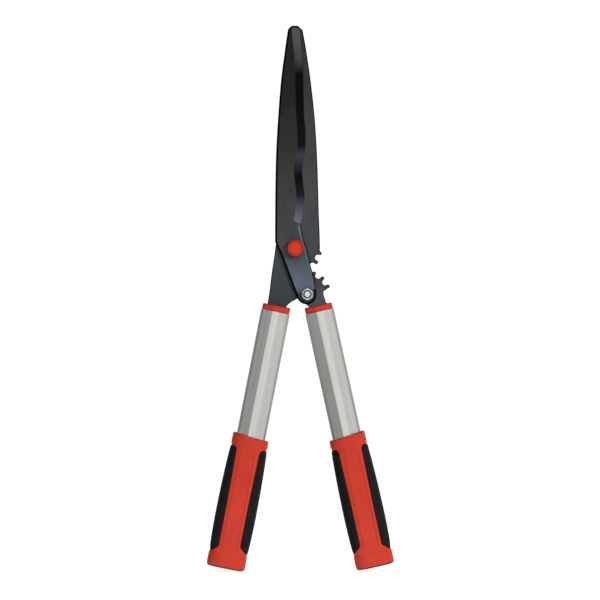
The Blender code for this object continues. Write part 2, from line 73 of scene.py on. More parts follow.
MOUNTS = {mount["name"]: mount for mount in frame["record"]["mounts"]}
JOINTS = {joint["name"]: Vector(joint["pos_m"]) for joint in frame["joints"]}
MAIN_PIVOT = JOINTS["blade_pivot"]
GEAR_PIVOT = JOINTS["handle_gear_pivot"]
SHEAR_Y = MAIN_PIVOT.y
PIVOT_LINE = GEAR_PIVOT.x / GEAR_PIVOT.z

# Stamped plates.
PLATE = 3.5 * MM
PLATE_FACE = GAP / 2 + PLATE
ON_PLANE = 0.005 * MM
SAME_PLACE = 0.002 * MM
OUTLINE_CORNER_DEG = 50.0
OUTLINE_STEP = 1.1 * MM
HOLE_CORNER_DEG = 80.0
HOLE_STEP = 0.5 * MM
HOLE_RIM = 0.25 * MM
RIM_STEPS = 4
RIM_DEPTH = 0.7  # how deep a rim drops, as a share of its width
RIM_MOST_DROP = 0.4  # the same, as a share of the plate's height there
# Rims carry the near-black rim material, so their widths also set how wide that painted shade runs: on the front
# blade's spine and on the teeth it stands in for dark edge lines and shadow gaps.
TOOTH_RIM = 0.9 * MM
GEAR_RIM = 0.55 * MM
FRONT_SPINE_RIMS = (2.2 * MM, 0.3 * MM)
REAR_SPINE_RIMS = (0.9 * MM, 1.0 * MM)
SHARP_RIMS = (0.12 * MM, 0.05 * MM)
# On the front blade's cutting side between the heel and the gear bolt, the outer rim is wider; its flatter rows
# take the ground bevel's light tone as a painted highlight, and its steeper rows stay near-black as a painted dark
# line.
LIT_EDGE_RIM = 3.2 * MM
LIT_EDGE_ROW = RIM_STEPS + 2  # rows of the rim past this one can carry the painted highlight
# A plate's material slots. The heel's steep step has the ground bevel's material, but flat faces.
COAT_SLOT, RIM_SLOT, GROUND_SLOT, HEEL_ZONE = range(4)

# Blades: where the cutting edge, the ground bevel and the teeth are.
BLADE_MIDDLE_X = 3.0 * MM
EDGE_BAND = (-4.0 * MM, 11.0 * MM)  # the cutting edge's nearest and furthest from the middle
EDGE_LAND = 0.6 * MM
EDGE_BELOW_HEEL = 0.5 * MM
EDGE_BELOW_TIP = 1.5 * MM
SHARP_BELOW_TIP = 3.0 * MM
SHARP_REACH = 2.0 * MM
HEEL_Z = 24.8 * MM
HEEL_START = HEEL_Z + 0.6 * MM
HEEL_SLANT = 0.4
HEEL_RUN = 1.0 * MM
HOLLOW = 0.035
BEVEL_WIDTH = 8.4 * MM
BEVEL_SHARES = (0.2, 0.45, 0.7, 1.0)
BEVEL_LINE_START = HEEL_Z + 8.0 * MM
BEVEL_LINE_END = 4.0 * MM  # below the tip
BEVEL_LINE_STEP = 2.0 * MM
LIT_EDGE_BOTTOM_Z = -44.0 * MM
LIT_EDGE_FROM_LINE = 4.0 * MM
REAR_TEETH = (12.0 * MM, -4.0 * MM)  # right of this X and below this Z
GEAR_TEETH = (10.0 * MM, -47.0 * MM)  # right of this X and above this Z

# Turned hardware: (radius, height above the shear plane) in millimetres, with the size across
# flats of a hexagon where one limits the radius.
CAP_PROFILE = (
    (0.0, 11.0), (3.0, 11.0), (5.9, 10.95), (6.1, 10.2), (6.6, 10.2), (6.85, 10.85), (7.5, 10.8),
    (8.5, 9.9), (9.0, 8.3), (9.0, 3.95), (7.85, 3.95), (7.85, 9.8), (0.0, 9.8))
PIVOT_BOLT_PROFILE = (
    (0.0, 9.2), (3.4, 9.2), (4.0, 8.6), (4.0, -5.4), (8.2, -5.4), (8.5, -5.8), (8.5, -7.0),
    (7.9, -7.9), (6.6, -8.45), (4.4, -8.7), (3.3, -8.7), (4.0, -8.45, 5.0), (4.0, -6.3, 5.0),
    (0.0, -6.1))
PIVOT_WASHER_PROFILE = ((4.3, -3.95), (9.0, -3.95), (9.0, -5.1), (4.3, -5.1))
GEAR_BOLT_PROFILE = (
    (0.0, 10.6), (2.85, 10.6), (3.18, 10.25), (3.18, -5.25), (5.4, -5.25), (5.7, -5.6),
    (5.7, -6.8), (5.2, -7.6), (4.3, -8.1), (3.0, -8.3), (2.6, -8.3), (3.2, -8.05, 4.0),
    (3.2, -6.2, 4.0), (0.0, -6.05))
NUT_PROFILE = (
    (4.4, 10.6), (4.75, 10.6), (5.0, 10.2), (5.0, 9.0), (5.55, 8.9), (6.05, 8.65, 11.1),
    (6.45, 8.2, 11.1), (6.45, 5.75, 11.1), (6.05, 5.35, 11.1), (5.4, 5.15), (3.5, 5.15),
    (3.5, 9.0), (4.35, 9.0))
NUT_INSERT_PROFILE = ((3.5, 10.4), (4.05, 10.4), (4.05, 9.3), (3.5, 9.3))
LOCK_WASHER_PROFILE = ((3.5, 4.85), (6.2, 4.85), (6.2, 3.95), (3.5, 3.95))
GEAR_WASHER_PROFILE = ((3.5, -3.95), (6.6, -3.95), (6.6, -4.95), (3.5, -4.95))
CAP_RING = (6.1 * MM, 7.9 * MM)  # between the cap's disc and its outer slope
TURNED_STEPS = 84
NUT_STEPS = 96
NUT_SHARP_DEG = 28.0
CORNER_SHARE = 0.4  # of a side, at most, that a rounded corner takes

# Handles, measured down from the top of the ferrule. The tube's and the grip's section is a
# faceted oval, given in half sizes.
HANDLE_LENGTH = 281.2 * MM
TUBE_SHAPE = {"facet": 0.21, "shoulder": (0.80, 0.66), "ease": 0.22, "side": 0.34}
GRIP_SHAPE = {"facet": 0.37, "shoulder": (0.60, 0.93), "ease": 0.9, "side": 0.55}
TUBE_HALF = (15.4 * MM, 10.5 * MM)
TUBE_CORNER = 0.5  # in millimetres
TUBE_SIDE_STEPS = 10
TUBE_WALL = 1.5 * MM
TUBE_LIP = 0.35 * MM
TUBE_ROWS = 24
LIP_STEPS = 3
TUBE_END = 268.0 * MM
FERRULE_HEIGHT = 6.3 * MM
FERRULE_INSET = 0.7 * MM
FERRULE_CROWN = 1.2 * MM
FERRULE_FOOT = 0.2 * MM
CROWN_STEPS = 5
PLUG_END = 44.0 * MM
TANG_HALF_WIDTH = 10.0 * MM
TANG_PIN_R = 2.0 * MM
TANG_PIN_DEPTH = 28.0 * MM
PIN_STEPS = 32
THROUGH = 20.0 * MM  # far enough to cut right through a plug
SHARP_DEG = 40.0

# Grips, measured down from their own top.
GRIP_TOP = 138.6 * MM
BORE_END = 131.0 * MM

# The grip's form, in millimetres: distance down, half width, half depth.
GRIP_SECTIONS = (
    (0.0, 17.6, 13.8), (0.12, 18.2, 14.4), (0.5, 18.8, 14.9), (1.2, 19.1, 15.1), (6.0, 19.35, 15.35),
    (11.0, 19.3, 15.3), (11.9, 19.0, 15.0), (12.6, 18.65, 14.65), (13.6, 18.75, 14.7),
    (15.5, 19.4, 15.2), (22.0, 19.9, 15.45), (35.0, 20.5, 15.8), (60.0, 21.2, 16.2),
    (90.0, 21.4, 16.4), (110.0, 21.1, 16.1), (120.0, 20.6, 15.75), (124.5, 20.0, 15.3),
    (125.8, 19.65, 15.05), (127.0, 20.1, 15.45), (128.5, 20.35, 15.65), (133.0, 20.5, 15.75),
    (138.5, 20.45, 15.7), (140.6, 20.1, 15.3), (141.8, 19.2, 14.4), (142.4, 17.8, 13.0),
    (142.6, 15.5, 11.0))
SECTION_STEPS = 8
GRIP_SIDE_STEPS = 24
GRIP_TOP_SLANT = 3.4
SLANT_FADE = 10.0
STRIP_HALF_WIDTH = (12.2, 11.2)
STRIP_MIDDLE = 75.0
ROUND_POWER = 2.6
ROUNDNESS = 0.75
# Where the flange's rounder section starts to fade, and over what distance; the flare's to grow.
FLANGE_BLEND = (12.0, 7.0)
FLARE_BLEND = (121.0, 8.0)
SOLVE_STEPS = 24
SHELL_SHARP_DEG = 50.0

# The pads and their pockets, in millimetres.
PAD_TOP = 13.6
PAD_TOP_CORNER = 4.0
PAD_END = {"outer": 118.7, "inner": 116.0}
PAD_END_CORNER = 2.5
PAD_END_SLOPE = math.tan(math.radians(40.0))
PAD_END_REACH = 19.5
PAD_TOP_PROBE = 1.0
PAD_END_PROBE = 2.0
PAD_THICKNESS = 2.2
PAD_ROWS = 64
PAD_LEVELS = ((0.3, 1.9), (0.3, 0.75), (0.38, 0.4), (0.6, 0.14), (1.0, 0.0))  # inset, depth
LIP = 0.25
SIDE_SHARES = (0.0, 0.009, 0.034, 0.075, 0.12, 0.17, 0.23, 0.30, 0.37, 0.44)

# The shell between the pads: a middle facet, a crease in each strip, and the pockets' lips.
CREASE = 0.37  # where the middle facet ends, as a share of the half width
CREASE_HALF = 0.55
CREASE_DEPTHS = {0.0: 1.0, 0.3: 0.8}  # share of the groove's depth, by distance from its middle
CREASE_FADES = (16.0, 125.0, 6.0)  # top, bottom, and the distance that each takes
GROOVE_DEPTH = 0.6
STRIP_COLUMNS = (("facet", 0.0), ("facet", 0.35), ("facet", 0.7), ("crease", -0.55),
                 ("crease", -0.3), ("crease", 0.0), ("crease", 0.3), ("crease", 0.55),
                 ("slope", 0.4), ("slope", 0.75))
SHELL_TOP_ROWS = (0.0, 0.12, 0.3, 0.6, 1.2, 3.0, 6.0, 9.0, 11.0, 11.5, 11.9, 12.3, 12.8, 13.2)
SHELL_END_ROWS = (129.0, 131.0, 133.0, 136.0, 138.5, 139.6, 140.3, 140.8, 141.2, 141.5, 141.75,
                  141.9)
ROWS_ABOVE_PAD = (0.35, 0.7)
ROWS_BELOW_PAD = (0.15, 0.3, 0.45, 0.6, 0.75, 0.9)
POCKET_START = len(SHELL_TOP_ROWS) + len(ROWS_ABOVE_PAD) + 2
POCKET_END = POCKET_START + PAD_ROWS
BORE_MOUTH = ((0.0, 0.4), (0.1, 0.1), (0.35, 0.0))  # wider by, lower by
# The rounded ends of the ferrule, the flange and the flare get a darker red: painted shade.
EDGE_SHADE_SLOPES = (0.3, 0.93)  # how far a face leans towards the handle's end
FLANGE_SHADE_END = GRIP_TOP + 6.0 * MM
FLARE_SHADE_START = GRIP_TOP + 138.0 * MM

# The colour against height, in metres and display values, from the bottom up: of the coatings, and of the ground
# bevel, whose tones are partly a purple tint near the heel and partly painted reflections that brighten and darken
# along its wavy edge; its lowest stops paint the highlight on the front blade's lit edge.
GROUND_TINT_AND_PAINTED_REFLECTIONS = (
    (-0.050, (84, 90, 98)), (0.012, (84, 88, 92)), (0.024, (106, 103, 123)),
    (0.030, (92, 89, 106)), (0.044, (66, 63, 77)), (0.056, (22, 21, 25)), (0.076, (4, 4, 6)),
    (0.088, (36, 35, 41)), (0.097, (56, 55, 62)), (0.107, (14, 14, 16)), (0.150, (5, 5, 6)),
    (0.183, (5, 5, 5)), (0.198, (56, 56, 56)), (0.222, (73, 73, 73)), (0.236, (70, 70, 70)))
FRONT_TONES = (
    (-0.062, (42, 46, 48)), (-0.050, (56, 62, 66)), (-0.040, (88, 95, 114)),
    (-0.025, (80, 86, 100)), (0.000, (62, 66, 70)), (0.045, (60, 60, 58)),
    (0.100, (46, 47, 43)), (0.160, (30, 31, 28)), (0.236, (28, 28, 28)))
REAR_TONES = (
    (-0.100, (56, 61, 65)), (-0.050, (57, 60, 66)), (0.000, (60, 66, 70)),
    (0.050, (70, 68, 71)), (0.120, (57, 57, 57)), (0.236, (42, 42, 42)))
GEAR_TONES = (
    (-0.060, (84, 86, 97)), (-0.050, (76, 77, 88)), (-0.038, (62, 62, 72)), (-0.025, (60, 60, 68)))

# Studio.
CAMERA_DISTANCE = 3.0
CAMERA_SENSOR = 36.0
VIEW_WIDTH = 0.630  # metres across the picture, at the shears
VIEW_CENTRE = (0.0050, -0.0543)
FLOOR_RADIUS = 0.6
FLOOR_SIDES = 64
FLOOR_DROP = 0.2 * MM
FLOOR_GREY = 0.5
FLOOR_GLOW = 0.78
BACKDROP = 1.05
LIGHT_TARGET = Vector((0.0, 0.0, -0.05))
# Name, place, width, watts, and whether it shows in reflections.
LIGHTS = (("key", (2.2, -2.4, 1.3), 1.0, 75.0, False),
          ("back", (-1.5, 2.6, 1.5), 1.5, 40.0, False),
          ("sparkle", (0.5, -1.2, 2.0), 0.35, 5.0, True))
# How bright the dome is from the left (-1) to the right (1), and from the front (-1) to the back.
DOME_ACROSS = ((-1.0, (0.26, 0.265, 0.26)), (-0.68, (0.235, 0.24, 0.23)),
               (-0.35, (0.50, 0.52, 0.50)), (-0.1, (0.79, 0.80, 0.78)), (0.3, (0.74, 0.735, 0.72)),
               (0.72, (0.62, 0.605, 0.59)), (1.0, (0.42, 0.41, 0.40)))
DOME_AROUND = ((-1.0, (1.0, 1.0, 1.0)), (-0.5, (1.0, 1.0, 1.0)), (-0.2, (0.85, 0.85, 0.85)),
               (0.4, (0.6, 0.6, 0.6)), (0.7, (0.9, 0.9, 0.9)), (1.0, (0.9, 0.9, 0.9)))


# ---------------------------------------------------------------- mesh helpers

def object_from(name, verts, faces, materials, indices=None, smooth=True):
    """A mesh object from vertices and faces, with a material index for each face."""
    mesh = bpy.data.meshes.new(name)
    mesh.from_pydata([tuple(v) for v in verts], [], faces)
    for made in materials:
        mesh.materials.append(made)
    if indices is not None:
        mesh.polygons.foreach_set("material_index", indices)
    mesh.polygons.foreach_set("use_smooth", np.broadcast_to(smooth, len(faces)).astype(bool))
    mesh.update()
    item = bpy.data.objects.new(name, mesh)
    bpy.context.scene.collection.objects.link(item)
    return item


def cleaned(item, distance=SAME_PLACE):
    """Merges doubled points, drops those that no face uses and turns all faces outward."""
    shape = bmesh.new()
    shape.from_mesh(item.data)
    bmesh.ops.remove_doubles(shape, verts=shape.verts, dist=distance)
    loose = [vert for vert in shape.verts if not vert.link_faces]
    bmesh.ops.delete(shape, geom=loose, context="VERTS")
    bmesh.ops.recalc_face_normals(shape, faces=shape.faces)
    if shape.calc_volume(signed=True) < 0:
        bmesh.ops.reverse_faces(shape, faces=shape.faces)
    shape.to_mesh(item.data)
    shape.free()
    return item


def finish_piece(item, body, slot, *nodes):
    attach(item, body)
    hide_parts(*nodes)
    return item


def ring_faces(rows, columns, closed=False):
    """Quads between rows of points, each closed on itself. Where closed is true, the last row
    joins the first."""
    faces = []
    for row in range(rows if closed else rows - 1):
        below = (row + 1) % rows
        for column in range(columns):
            after = (column + 1) % columns
            faces.append((row * columns + column, row * columns + after,
                          below * columns + after, below * columns + column))
    return faces


def quarter_turn(steps):
    """Even angles from 0 to a right angle."""
    return [math.pi / 2 * step / steps for step in range(steps + 1)]


# ---------------------------------------------------------------- stamped plates

def node_outlines(node, y):
    """The closed outlines of a CAD plate in the plane at y, as arrays of (x, z), longest first."""
    mesh = frame["nodes"][node].data
    places = {}
    following = {}
    used = set()
    for polygon in mesh.polygons:
        points = [mesh.vertices[index].co for index in polygon.vertices]
        if any(abs(point.y - y) > ON_PLANE for point in points):
            continue
        keys = []
        for point in points:
            key = (round(point.x / SAME_PLACE), round(point.z / SAME_PLACE))
            places[key] = (point.x, point.z)
            keys.append(key)
        for first, second in zip(keys, keys[1:] + keys[:1]):
            used.add((first, second))
    for first, second in used:
        if (second, first) not in used:
            following[first] = second
    loops = []
    while following:
        start = next(iter(following))
        loop = [start]
        place = following.pop(start)
        while place != start:
            loop.append(place)
            place = following.pop(place)
        loops.append(np.array([places[key] for key in loop]))
    return sorted(loops, key=lambda loop: -len(loop))


def turned_ccw(loop):
    x, z = loop[:, 0], loop[:, 1]
    area = np.sum(x * np.roll(z, -1) - np.roll(x, -1) * z)
    return loop if area > 0 else loop[::-1]


def smoothed(loop, corner_deg=OUTLINE_CORNER_DEG, step=OUTLINE_STEP):
    """The loop with more points, on centripetal splines that stop at sharp corners."""
    count = len(loop)
    ahead = np.roll(loop, -1, 0) - loop
    heading = np.arctan2(ahead[:, 1], ahead[:, 0])
    turn = np.abs((heading - np.roll(heading, 1) + math.pi) % math.tau - math.pi)
    corner = turn > math.radians(corner_deg)
    points = []
    for index in range(count):
        p1 = loop[index]
        p2 = loop[(index + 1) % count]
        p0 = 2 * p1 - p2 if corner[index] else loop[index - 1]
        p3 = 2 * p2 - p1 if corner[(index + 1) % count] else loop[(index + 2) % count]
        pieces = max(1, round(np.linalg.norm(p2 - p1) / step))
        t1 = np.linalg.norm(p1 - p0) ** 0.5
        t2 = t1 + np.linalg.norm(p2 - p1) ** 0.5
        t3 = t2 + np.linalg.norm(p3 - p2) ** 0.5
        for piece in range(pieces):
            t = t1 + (t2 - t1) * piece / pieces
            a1 = (t1 - t) / t1 * p0 + t / t1 * p1
            a2 = (t2 - t) / (t2 - t1) * p1 + (t - t1) / (t2 - t1) * p2
            a3 = (t3 - t) / (t3 - t2) * p2 + (t - t2) / (t3 - t2) * p3
            b1 = (t2 - t) / t2 * a1 + t / t2 * a2
            b2 = (t3 - t) / (t3 - t1) * a2 + (t - t1) / (t3 - t1) * a3
            points.append((t2 - t) / (t2 - t1) * b1 + (t - t1) / (t2 - t1) * b2)
    return np.clip(points, loop.min(0), loop.max(0))


def inward(loop):
    """For each point of a counter-clockwise loop, the mitred step that moves it 1 inward."""
    ahead = np.roll(loop, -1, 0) - loop
    ahead /= np.linalg.norm(ahead, axis=1)[:, None]
    behind = np.roll(ahead, 1, 0)
    normal = np.stack([-(ahead[:, 1] + behind[:, 1]), ahead[:, 0] + behind[:, 0]], 1)
    normal /= np.linalg.norm(normal, axis=1)[:, None]
    cosine = np.abs(np.sum(normal * np.stack([-ahead[:, 1], ahead[:, 0]], 1), 1))
    return normal / np.clip(cosine, 0.7, 1.0)[:, None]


def inside(points, loop):
    """Which points lie in a closed loop, by counting crossings."""
    x, z = points[:, 0][:, None], points[:, 1][:, None]
    x1, z1 = loop[:, 0][None], loop[:, 1][None]
    x2, z2 = np.roll(loop[:, 0], -1)[None], np.roll(loop[:, 1], -1)[None]
    crossing = (z1 > z) != (z2 > z)
    with np.errstate(divide="ignore", invalid="ignore"):
        at = (x2 - x1) * (z - z1) / (z2 - z1) + x1
    return np.sum(crossing & (x < at), 1) % 2 == 1


def eased(values, times=3):
    """Values around a loop, evened out with their neighbours."""
    for _ in range(times):
        values = (np.roll(values, 1) + 2 * values + np.roll(values, -1)) / 4
    return values


def shear_face_y(node, side):
    """Where a plate's inner face is: side is -1 where its outer face looks to the front."""
    low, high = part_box(node)
    return high.y if side < 0 else low.y


def rim_rows(loop, hole, height, rims):
    """Rows of (places, heights) round a plate's edge, from its inner face to its outer one."""
    step = inward(loop) * (-1 if hole else 1)
    if hole:
        inner = outer = np.full(len(loop), HOLE_RIM)
    else:
        outer, inner = (eased(np.array([rim(x, z) for x, z in loop])) for rim in rims)
    angles = quarter_turn(RIM_STEPS)
    rows = []
    for angle in reversed(angles):
        place = loop + step * (inner * (1 - math.cos(angle)))[:, None]
        rows.append((place, GAP / 2 + RIM_DEPTH * inner * (1 - math.sin(angle))))
    for angle in angles:
        place = loop + step * (outer * (1 - math.cos(angle)))[:, None]
        top = height(place[:, 0], place[:, 1])
        drop = np.minimum(RIM_DEPTH * outer, RIM_MOST_DROP * top)
        rows.append((place, top - drop * (1 - math.sin(angle))))
    return rows


def trimmed(line, border):
    """The first run of a line's points inside the border."""
    within = np.append(inside(np.array(line), border), False)
    first = int(np.argmax(within))
    return line[first:first + int(np.argmin(within[first:]))]


class Plate:
    """A stamped plate's mesh while it is being made.

    Side is -1 where the outer face looks to the front. Height gives the outer face's height above
    the shear plane.
    """

    def __init__(self, side, height):
        self.side = side
        self.height = height
        self.verts = []
        self.faces = []
        self.indices = []
        self.smooth = []

    def add_vertex(self, x, z, up):
        self.verts.append((x, SHEAR_Y + self.side * up, z))
        return len(self.verts) - 1

    def add_inner_vertex(self, x, z):
        return self.add_vertex(x, z, GAP / 2)

    def add_outer_vertex(self, x, z):
        return self.add_vertex(x, z, float(self.height(np.array([x]), np.array([z]))[0]))

    def add_rim(self, loop, rows, lit_edge):
        """The rounded edge along a loop. Gives back the inner and the outer face's border."""
        start = len(self.verts)
        count = len(loop)
        for place, depth in rows:
            for (x, z), up in zip(place, depth):
                self.add_vertex(x, z, up)
        made = ring_faces(len(rows), count)
        self.faces += [tuple(start + index for index in face) for face in made]
        for number in range(len(made)):
            row, column = divmod(number, count)
            # On the lit edge, the rim's outer rows take the ground bevel's light tone: a painted highlight.
            highlighted = row > LIT_EDGE_ROW and lit_edge(*loop[column])
            self.indices.append(GROUND_SLOT if highlighted else RIM_SLOT)
        self.smooth += [True] * len(made)
        return (start, rows[0][0]), (start + count * (len(rows) - 1), rows[-1][0])

    def add_face(self, borders, lines, zone, add_crossing):
        """A face inside its borders, the outline's first, with edges along the lines.

        Each line comes with the end that joins the outline: its first point (0) or its last (-1).
        Zone gives the kind of a place on this face.
        """
        points, edges, known = [], [], []
        for start, ring in borders:
            base = len(points)
            points += [Vector(place) for place in ring]
            known += list(range(start, start + len(ring)))
            edges += [(base + i, base + (i + 1) % len(ring)) for i in range(len(ring))]
        outline = borders[0][1]
        for line, joined in lines:
            line = trimmed(line, outline)
            if len(line) < 2:
                continue
            base = len(points)
            points += [Vector(place) for place in line]
            known += [self.add_outer_vertex(x, z) for x, z in line]
            edges += [(base + i, base + i + 1) for i in range(len(line) - 1)]
            nearest = int(np.argmin(np.linalg.norm(outline - np.array(line[joined]), axis=1)))
            edges.append((base + joined % len(line), nearest))
        flat, _, triangles, origins, _, _ = delaunay_2d_cdt(points, edges, [], 0, 1e-7)
        centres = np.array([np.mean([flat[i] for i in triangle], 0) for triangle in triangles])
        wanted = inside(centres, outline)
        for _, hole in borders[1:]:
            wanted &= ~inside(centres, hole)
        for number in np.flatnonzero(wanted):
            for index in triangles[number]:
                if not origins[index]:
                    # Two lines cross here, at a point that neither of them has.
                    origins[index].append(len(known))
                    known.append(add_crossing(*flat[index]))
            self.faces.append(tuple(known[origins[index][0]] for index in triangles[number]))
            kind = zone(*centres[number])
            self.indices.append(min(kind, GROUND_SLOT))
            self.smooth.append(kind == GROUND_SLOT)


def anywhere_coated(x, z):
    return COAT_SLOT


# Plates with no painted highlight on their rim.
def never_lit_edge(x, z):
    return False


def plate_piece(name, node, side, height, rims, materials, lines=(), zone=anywhere_coated,
                lit_edge=never_lit_edge):
    """A stamped plate with rounded edges on both faces.

    Rims give the width of the rounding at (x, z), on the outer face and on the inner one; lines
    are polylines that the outer face has edges along; zone gives the kind of a place on it.
    """
    loops = [turned_ccw(loop) for loop in node_outlines(node, shear_face_y(node, side))]
    loops = [smoothed(loops[0])] + [smoothed(loop, HOLE_CORNER_DEG, HOLE_STEP) for loop in loops[1:]]
    plate = Plate(side, height)
    inner, outer = [], []
    for number, loop in enumerate(loops):
        first, last = plate.add_rim(loop, rim_rows(loop, number > 0, height, rims), lit_edge)
        inner.append(first)
        outer.append(last)
    plate.add_face(outer, lines, zone, plate.add_outer_vertex)
    plate.add_face(inner, (), anywhere_coated, plate.add_inner_vertex)
    return cleaned(object_from(name, plate.verts, plate.faces, materials, plate.indices,
                               plate.smooth))


def cutting_edge(node, side):
    """The cutting edge of a blade's outline, from the heel up."""
    tip_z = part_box(node)[1].z
    outline = smoothed(turned_ccw(node_outlines(node, shear_face_y(node, side))[0]))
    out = outline[:, 0] - BLADE_MIDDLE_X
    on_edge = (outline[:, 1] > HEEL_Z - EDGE_BELOW_HEEL) & (outline[:, 1] < tip_z - EDGE_BELOW_TIP)
    on_edge &= (out * -side > EDGE_BAND[0]) & (np.abs(out) < EDGE_BAND[1])
    edge = outline[on_edge]
    return edge[np.argsort(edge[:, 1])]


def bevel_lines(edge_x, right, tip_z):
    """Lines along the bevel, and the two across it where the heel starts and ends."""
    stations = np.arange(BEVEL_LINE_START, tip_z - BEVEL_LINE_END, BEVEL_LINE_STEP)
    lines = []
    starts = []
    for share in BEVEL_SHARES:
        inset = right * share * BEVEL_WIDTH
        heights = [HEEL_START + HEEL_SLANT * share * BEVEL_WIDTH + above for above in (0.0, HEEL_RUN)]
        ends = [(edge_x(z) - inset, z) for z in heights]
        starts.append(ends)
        lines.append((ends + [(edge_x(z) - inset, z) for z in stations], -1))
    return lines + [([ends[place] for ends in starts], 0) for place in (0, 1)]


def blade_piece(name, node, side, spine_rims, materials):
    """A blade with its ground bevel on the outer face.

    Spine_rims are the widths of the rounding away from the cutting edge and the teeth, on the
    outer and the inner face.
    """
    right = -side
    tip_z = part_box(node)[1].z
    edge = cutting_edge(node, side)

    def edge_x(z):
        return np.interp(z, edge[:, 1], edge[:, 0])

    def across(x, z):
        """Distance in from the cutting edge."""
        return right * (edge_x(z) - x)

    def heel(x, z):
        """How far a place is above the slanting line where the grinding starts."""
        return z - (HEEL_START + HEEL_SLANT * np.clip(across(x, z), 0.0, BEVEL_WIDTH))

    def height(x, z):
        share = np.clip(across(x, z) / BEVEL_WIDTH, 0.0, 1.0)
        ground = GAP / 2 + EDGE_LAND + (PLATE - EDGE_LAND) * (share - HOLLOW * np.sin(math.pi * share))
        return PLATE_FACE + (ground - PLATE_FACE) * np.clip(heel(x, z) / HEEL_RUN, 0.0, 1.0)

    def lit_edge(x, z):
        """The edge between the heel and the gear bolt on the cutting side, where the rim carries a painted
        highlight.
        """
        return (side < 0 and LIT_EDGE_BOTTOM_Z < z < HEEL_Z - EDGE_BELOW_HEEL
                and x > PIVOT_LINE * z + LIT_EDGE_FROM_LINE)

    def rim(wide, sharp, where_lit_edge):
        def width(x, z):
            if HEEL_Z - EDGE_BELOW_HEEL < z < tip_z - SHARP_BELOW_TIP and across(x, z) < SHARP_REACH:
                return sharp
            if side > 0 and x > REAR_TEETH[0] and z < REAR_TEETH[1]:
                return TOOTH_RIM
            # A wider outer rim where the painted highlight runs.
            return where_lit_edge if lit_edge(x, z) else wide
        return width

    def zone(x, z):
        if across(x, z) > BEVEL_WIDTH or heel(x, z) < 0.0:
            return COAT_SLOT
        return GROUND_SLOT if heel(x, z) > HEEL_RUN else HEEL_ZONE

    rims = (rim(spine_rims[0], SHARP_RIMS[0], LIT_EDGE_RIM),
            rim(spine_rims[1], SHARP_RIMS[1], spine_rims[1]))
    return plate_piece(name, node, side, height, rims, materials, bevel_lines(edge_x, right, tip_z),
                       zone, lit_edge)


# ---------------------------------------------------------------- turned hardware

def hexagon_radius(angle, across_flats):
    """A hexagon's radius in a direction, with corners at the top and the bottom."""
    turn = (angle + math.pi / 6) % (math.pi / 3) - math.pi / 6
    return across_flats / 2 / math.cos(turn)


def softened(profile, radius, closed):
    """The profile with each corner replaced by a short curve."""
    made = []
    count = len(profile)
    for index, point in enumerate(profile):
        if not closed and index in (0, count - 1):
            made.append(point)
            continue
        here = np.array(point[:2])
        back = np.array(profile[index - 1][:2]) - here
        ahead = np.array(profile[(index + 1) % count][:2]) - here
        back_length, ahead_length = np.linalg.norm(back), np.linalg.norm(ahead)
        start = here + back / back_length * min(radius, CORNER_SHARE * back_length)
        end = here + ahead / ahead_length * min(radius, CORNER_SHARE * ahead_length)
        for t in (0.0, 0.33, 0.67, 1.0):
            place = start * (1 - t) ** 2 + here * 2 * t * (1 - t) + end * t ** 2
            made.append((*place, *point[2:]))
    return made


def lathed(name, profile, at, material, radius=0.2, steps=TURNED_STEPS, closed=False,
           sharp_deg=38.0):
    """A turned piece on a pivot, from its profile, with its corners rounded."""
    rows = softened(profile, radius, closed)
    verts = []
    for point in rows:
        for step in range(steps):
            angle = math.tau * step / steps
            reach = point[0]
            if len(point) > 2:
                reach = min(reach, hexagon_radius(angle, point[2]))
            verts.append((at.x + reach * MM * math.cos(angle), SHEAR_Y - point[1] * MM,
                          at.z + reach * MM * math.sin(angle)))
    faces = ring_faces(len(rows), steps, closed)
    item = cleaned(object_from(name, verts, faces, [material]))
    item.data.set_sharp_from_angle(angle=math.radians(sharp_deg))
    return item


# ---------------------------------------------------------------- handles

class Handle:
    """Where one handle is: its own X runs across it and its own Z up along it."""

    def __init__(self, side):
        mount = MOUNTS[side + "_grip_end"]
        self.side = side
        self.outward = -1 if side == "left" else 1
        self.body = "left_half" if side == "left" else "right_handle"
        self.up = -Vector(mount["axis"]).normalized()
        self.right = Vector((self.up.z, 0.0, -self.up.x))
        self.start = Vector(mount["pos_m"]) + self.up * HANDLE_LENGTH

    def to_world(self, points):
        points = np.asarray(points, float).reshape(-1, 3)
        across = np.array([self.right, (0.0, 1.0, 0.0), self.up])
        return np.array(self.start) + points @ across


def quarter(shape, steps):
    """A faceted oval's outline from its side end to the middle of its front, in half sizes."""
    facet = np.array((shape["facet"], 1.0))
    shoulder = np.array(shape["shoulder"])
    lead_out = shoulder + (shoulder - facet) * shape["ease"]
    lead_in = np.array((1.0, shape["side"]))
    end = np.array((1.0, 0.0))
    points = []
    for step in range(steps):
        t = step / steps
        points.append(end * (1 - t) ** 3 + lead_in * 3 * t * (1 - t) ** 2
                      + lead_out * 3 * t ** 2 * (1 - t) + shoulder * t ** 3)
    return points + [shoulder, facet]


def tube_section(amount):
    """The tube's outline in metres, made smaller all round, with softened corners."""
    points = quarter(TUBE_SHAPE, TUBE_SIDE_STEPS)
    half = (TUBE_HALF[0] - amount, TUBE_HALF[1] - amount)
    right_back = [(x * half[0] / MM, y * half[1] / MM) for x, y in points]
    ring = (right_back + [(-x, y) for x, y in right_back[::-1][:-1]]
            + [(-x, -y) for x, y in right_back] + [(x, -y) for x, y in right_back[::-1][:-1]])
    return [(x * MM, y * MM) for x, y in softened(ring, TUBE_CORNER, True)]


def section_rings(rows):
    """Rings of the tube's outline, one for each (amount smaller, height)."""
    return [[(x, y, z) for x, y in tube_section(amount)] for amount, z in rows]


